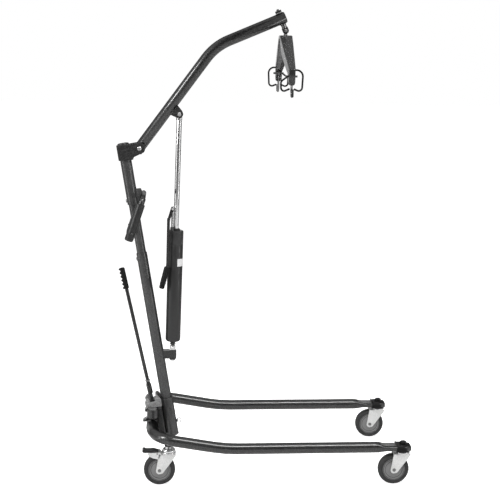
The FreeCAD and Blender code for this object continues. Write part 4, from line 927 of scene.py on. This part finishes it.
for side, reach in (("left", 1), ("right", -1)):
    y, fw, top = reach * 267, -reach, -RISE - 5
    high_wire = bent([(fw * 13.5, y, top), (fw * 43, y, top), (fw * 39, y, top - 84), (fw * 11, y, top - 73)],
                     [24, 13])
    low_wire = bent([(-fw * 13.5, y, top - 22), (-fw * 42, y, top - 43), (-fw * 41, y, top - 85),
                     (-fw * 11, y, top - 72)], [14, 12])
    tips = [lathe([(0, -3.6), (3.4, -3), (3.9, -1), (3.9, 4), (3.2, 5), (0, 5)],
                  CRADLE @ Matrix.Translation(wire[-1]) @ along(wire[-2] - wire[-1]), 24)
            for wire in (high_wire, low_wire)]
    tips.append(soft_box((-11, reach * 278.4 - 1.6, top - 18), (11, reach * 278.4 + 1.6, top + 3), CRADLE, 1))
    wires = [sweep(wire, 3.6, CRADLE, steps=20) for wire in (high_wire, low_wire)] + tips
    piece(f"{side}_wires_visual", "sling_cradle", WIRE, wires, hides=f"{side}_wire_hooks", sharp=60)
    track, low, outward = reach * BOLT_TRACK, -BOLT_DROP - 76, reach * (BOLT_TRACK + 32)
    hook = bent([(0, track, -BOLT_DROP - 6), (0, track, low), (0, outward, low), (0, outward, low + 24)],
                [14, 14])
    eye = CRADLE @ shifted(0, track, -BOLT_DROP) @ tilted(90)
    eye_ring = lathe([(4.2, -4.2), (8.2, -4.5), (9.1, -3.4), (9.1, 3.4), (8.2, 4.5), (4.2, 4.2)], eye, 40)
    piece(f"{side}_centre_hook_visual", f"{side}_hook", DULL_STEEL,
          [sweep(hook, 4.5, CRADLE, steps=24), eye_ring], sharp=60)
    sleeve_path = [hook[-1] + Vector((0, 0, -26)), hook[-1] + Vector((0, 0, 4.6))]
    piece(f"{side}_hook_tip", f"{side}_hook", GRIP, [sweep(sleeve_path, 5.3, CRADLE, steps=28, edge=2)])

bolts = []
for track in (BOLT_TRACK, -BOLT_TRACK):
    at = CRADLE @ shifted(0, track, -BOLT_DROP) @ tilted(90)
    bolts.append(rod(4, -22, 22, at, 0.8, 28))
    bolts += [lathe([(4, low), (6.4, low), (6.4, low + 5.4), (4, low + 5.4)], at, 32) for low in (-10.6, 5.2)]
piece("hook_bolts_visual", "sling_cradle", BLACK_PAINT, bolts)


# ---------------- pump

x, z = pump_foot.x, pump_foot.z
plan = [(x - 50, -16), *arc(x, 0, 16, 16, range(-90, 91, 10)), (x - 50, 16)]
shells = [slab(plan, z - 46, z - 12, across=False), rod(14, z - 52, z - 10.4, shifted(x), 1)]
piece("pump_bracket_visual", BASE, FLAT_PAINT, shells, bevel=1.2, sharp=30)
ear = [(x - 12.5, z - 9.8), (x + 12.5, z - 9.8)] + arc(x, z + 1, 12, 9, range(0, 181, 12))
shells = plates(ear, 6.6, 12.8)
shells += [slab([(x - 12.5, -12.8), (x + 12.5, -12.8), (x + 12.5, 12.8), (x - 12.5, 12.8)], z - 9.8, z - 9.0,
                across=False),
           rod(8, z - 49, z - 9.4, shifted(x), 1, 40), hexagon(11, z - 58, z - 52.2, shifted(x))]
at = crossing(pump_foot)
shells += [hexagon(8.5, -19, -13.6, at), hexagon(8.5, 13.6, 19, at), rod(5, -17, 21, at, 0.8, 28)]
piece("pump_clevis_visual", BASE, BRIGHT_ZINC, shells, bevel=0.6)

barrel = [(0, 22), (12, 22), (12, 26), (21, 27), (25.4, 28), (28.6, 30.4), (30.6, 34), (31.3, 39),
          (31.3, 440), (31.0, 440.6), (31.0, 442.4), (31.3, 443), (31.3, 492), (30.5, 496), (28, 498),
          (17.2, 498), (17.2, 503.2), (16.2, 504.2), (11.2, 504.2), (11.2, 503), (0, 503)]
shells = [lathe(barrel, PUMP, 96), rod(6, 5, 27, PUMP, 0.5, 32),
          rod(8.8, -6, 6, PUMP @ ACROSS, 1, 40),
          lathe([(0, 497), (8, 497), (8, 511), (7, 512), (5.2, 512), (0, 512)], PLUNGER, 40)]
piece("pump_cylinder_visual", "pump", PUMP_PAINT, shells)
piece("pump_foot_nut", "pump", BLACK_PAINT, [hexagon(11.5, 12, 19, PUMP)])
seal = [lathe([(11.1, 503.4), (14.2, 503.4), (14.4, 505), (13.4, 506), (11.1, 506)], PUMP, 48),
        lathe([(5.1, 511.4), (7, 511.4), (7, 512.8), (6.2, 513.6), (5.1, 513.6)], PLUNGER, 32)]
piece("pump_seals", "pump", PLASTIC, seal)


def label_shell(radius, low, high, start, end):
    """A thin sheet wrapped round the cylinder between two angles."""
    points, rings = [], []
    steps = 24
    for i in range(steps + 1):
        turn = math.radians(start + (end - start) * i / steps)
        spots = []
        for height, lift in ((low, 0.05), (low, 0.3), (high, 0.3), (high, 0.05)):
            reach = radius + lift
            spots.append(PUMP @ Vector((reach * math.cos(turn), reach * math.sin(turn), height)))
        rings.append(add_ring(points, spots))
    return capped(points, rings)


piece("pump_label", "pump", LABEL, [label_shell(31.3, 351, 382, -73, 60)])

shells = [rod(11, 405, 962, PUMP, 0.6, 72), rod(13, -10, 10, PUMP @ shifted(0, 0, 974.3) @ ACROSS, 1.2, 48)]
neck = [(0, 948), (11, 948), (12.4, 950), (12.4, 964), (0, 966)]
piece("pump_rod_visual", "piston_rod", CHROME, shells + [lathe(neck, PUMP, 48)])

pin = PLUNGER @ shifted(0, 0, 592) @ ACROSS
shells = [rod(5, 474, 588, PLUNGER, 0.5, 40), rod(7, -6, 6, pin, 0.8, 40), rod(3.5, -17, 8, pin, 0.5, 24),
          rod(6, 7.4, 9.4, pin, 0.5, 24)]
piece("pump_plunger_visual", "plunger", CHROME, shells)

spot = PUMP @ shifted(-6, 20)
knob = [rod(3, 484, 509, spot, 0.4, 24),
        lathe([(0, 507.6), (7, 508), (8, 509.4), (8, 518), (7.2, 519.6), (5, 520), (0, 520)], spot, 40)]
wing = rounded([(-9, 512), (9, 512), (9, 519), (5, 521.6), (-5, 521.6), (-9, 519)], [3, 3, 3, 2, 2, 3], 4)
piece("release_knob_visual", "release_valve", PLASTIC, knob + [slab(wing, -2.6, 2.6, spot)], bevel=0.7)

link = rounded([(-18, 600), (-9, 596), (-10, 586), (-24, 550), (-27, 526), (-37, 526), (-36, 548),
                (-23, 596)], [3, 4, 4, 6, 3, 3, 8, 3], 5)
corner, end = Vector((-31, -36, 357)), Vector((-53, -36, 261))
lever_path = bent([(-32, -36, 552), corner, end], [60])
shells = [slab(link, -26.4, -22.6, PUMP), soft_box((-38, -38, 526), (-26, -24, 552), PUMP, 2.4),
          sweep(lever_path, 6, PUMP, steps=32)]
piece("pump_lever_visual", "pump_handle", BLACK_PAINT, shells, bevel=0.6, sharp=40)
cap = [rod(5.6, -19.5, -17.1, pin, 0.6, 28)]
piece("lever_pin_cap", "pump_handle", BRIGHT_ZINC, cap)


def ribbed_grip(at, length, radius, rows):
    """A moulded sleeve with rows of short raised bars and a rounded end."""
    profile = [(0, 0), (radius - 1.6, 0), (radius - 0.4, 1), (radius, 2.6), (radius, length - 12),
               (radius - 0.9, length - 11.4), (radius - 0.9, length - 9.6), (radius, length - 9),
               (radius, length - 3), (radius - 0.8, length), (radius - 3.4, length + 2.4), (0, length + 3.2)]
    shells = [lathe(profile, at, 48)]
    for row in range(rows):
        z = 7 + row * (length - 24) / (rows - 1)
        for turn in range(8):
            spin = at @ tilted(turn * 45 + (row % 2) * 22.5, "Z")
            shells.append(block((radius - 0.6, -3.2, z), (radius + 0.55, 3.2, z + 3.4), spin))
    return shells


heading = (end - corner).normalized()
grip_at = PUMP @ Matrix.Translation(corner + heading * 8) @ along(heading)
grip = ribbed_grip(grip_at, (end - corner).length - 8, 11.3, 11)
piece("pump_lever_grip_visual", "pump_handle", WIRE, grip, bevel=0.35, sharp=40)


# ---------------- floor, light and camera

scene = bpy.context.scene
floor_paint, tree, shader = new_material("pale_floor")
tone = mixed(tree, add_node(tree, "TexNoise", {"Scale": 6}).outputs["Fac"], grey(0.90), grey(0.93))
seen = add_node(tree, "LightPath").outputs["Is Camera Ray"]
feed(tree, shader, {"Base Color": mixed(tree, seen, grey(0.70), tone), "Emission Color": tone,
                    "Emission Strength": reckon(tree, "MULTIPLY", seen, 0.8), "Roughness": 0.9,
                    "Specular IOR Level": 0})
plane = bpy.data.meshes.new("floor")
plane.from_pydata([(-30, -30, -0.0005), (30, -30, -0.0005), (30, 30, -0.0005), (-30, 30, -0.0005)], [],
                  [(0, 1, 2, 3)])
plane.materials.append(floor_paint)
floor = bpy.data.objects.new("floor", plane)
scene.collection.objects.link(floor)

world = bpy.data.worlds.new("studio")
scene.world = world
world.use_nodes = True
tree = world.node_tree
tree.nodes.clear()
heading = add_node(tree, "TexCoord").outputs["Generated"]
room = ranged(tree, along_axis(tree, heading, (-0.25, -0.45, 0.86)), -0.35, 0.75, 0.16, 0.62, "SMOOTHSTEP")
wall = ranged(tree, along_axis(tree, heading, (-0.2, 0.98, -0.03)), 0.80, 0.97, 0, 1.1, "SMOOTHSTEP")
# a dark stripe in front, which gives polished tubes their dark middle line
stripe = ranged(tree, reckon(tree, "ABSOLUTE", along_axis(tree, heading, (0.99, -0.14, 0))), 0.26, 0.40, 0.04)
behind = ranged(tree, along_axis(tree, heading, (0.14, 0.99, 0)), -0.3, 0.0)
strength = reckon(tree, "MULTIPLY", reckon(tree, "ADD", room, wall),
                  reckon(tree, "MAXIMUM", stripe, behind))
lit = add_node(tree, "Background", {"Strength": strength}).outputs["Background"]
plain = add_node(tree, "Background", {"Color": (1, 1, 1, 1)}).outputs["Background"]
seen = add_node(tree, "LightPath").outputs["Is Camera Ray"]
both = add_node(tree, "MixShader", {0: seen, 1: lit, 2: plain})
add_node(tree, "OutputWorld", {"Surface": both.outputs["Shader"]})


def group(name, keep):
    """The pieces a light reaches."""
    pieces = bpy.data.collections.new(name)
    for item in bpy.data.objects:
        if item.type == "MESH" and keep(item.name):
            pieces.objects.link(item)
    return pieces


def soft_light(name, place, aim, width, height, power, glossy=True, reaches=None):
    """A flat lamp; glossy says whether it shows in reflections, and reaches which pieces it lights."""
    data = bpy.data.lights.new(name, "AREA")
    data.shape = "RECTANGLE"
    data.size, data.size_y, data.energy = width, height, power
    lamp = bpy.data.objects.new(name, data)
    lamp.location = place
    lamp.rotation_euler = (Vector(aim) - Vector(place)).to_track_quat("-Z", "Y").to_euler()
    lamp.visible_glossy = glossy
    if reaches:
        lamp.light_linking.receiver_collection = reaches
    scene.collection.objects.link(lamp)


below_boom = group("below_boom", lambda name: name != "boom_visual")
cradle_parts = group("cradle_parts", lambda name: name.startswith("cradle"))
soft_light("top", (0.7, -1.5, 3.3), (0.4, 0, 0.2), 2.2, 0.4, 68, reaches=below_boom)
soft_light("low", (-0.2, -3.0, 0.2), (0.27, 0.15, 1.65), 1.2, 0.6, 95, glossy=False, reaches=cradle_parts)
soft_light("left", (-2.9, -1.67, 2.6), (-0.15, 0, 1.4), 0.5, 1.5, 55)
soft_light("left_strip", (-3.2, -1.1, 0.9), (0, 0, 1.1), 0.3, 2.0, 9)
soft_light("back", (-2.8, 2.4, 2.4), (0, 0, 1.0), 1.6, 1.6, 25, glossy=False)
soft_light("front", (0.9, -5.2, 2.4), (0, 0, 0.7), 1.8, 1.8, 58, glossy=False)
soft_light("strip", (3.2, -1.8, 1.3), (-0.3, 0, 1.1), 0.4, 2.2, 16)

PITCH, YAW, ROLL, FOCAL_LENGTH = 0.18221, 0.075231, 0.015023, 79.2
CAMERA_PLACE = (-0.38914, -4.4841, 1.7466)
forward = Vector((math.sin(YAW) * math.cos(PITCH), math.cos(YAW) * math.cos(PITCH), -math.sin(PITCH)))
right = Vector((math.cos(YAW), -math.sin(YAW), 0))
up = right.cross(forward)
turned_right = right * math.cos(ROLL) + up * math.sin(ROLL)
turned_up = up * math.cos(ROLL) - right * math.sin(ROLL)
data = bpy.data.cameras.new("camera")
data.lens, data.sensor_width, data.clip_end = FOCAL_LENGTH, 36, 100
camera = bpy.data.objects.new("camera", data)
view = Matrix((turned_right, turned_up, -forward)).transposed().to_4x4()
view.translation = CAMERA_PLACE
camera.matrix_world = view
scene.collection.objects.link(camera)
scene.camera = camera
scene.view_settings.view_transform = "Standard"
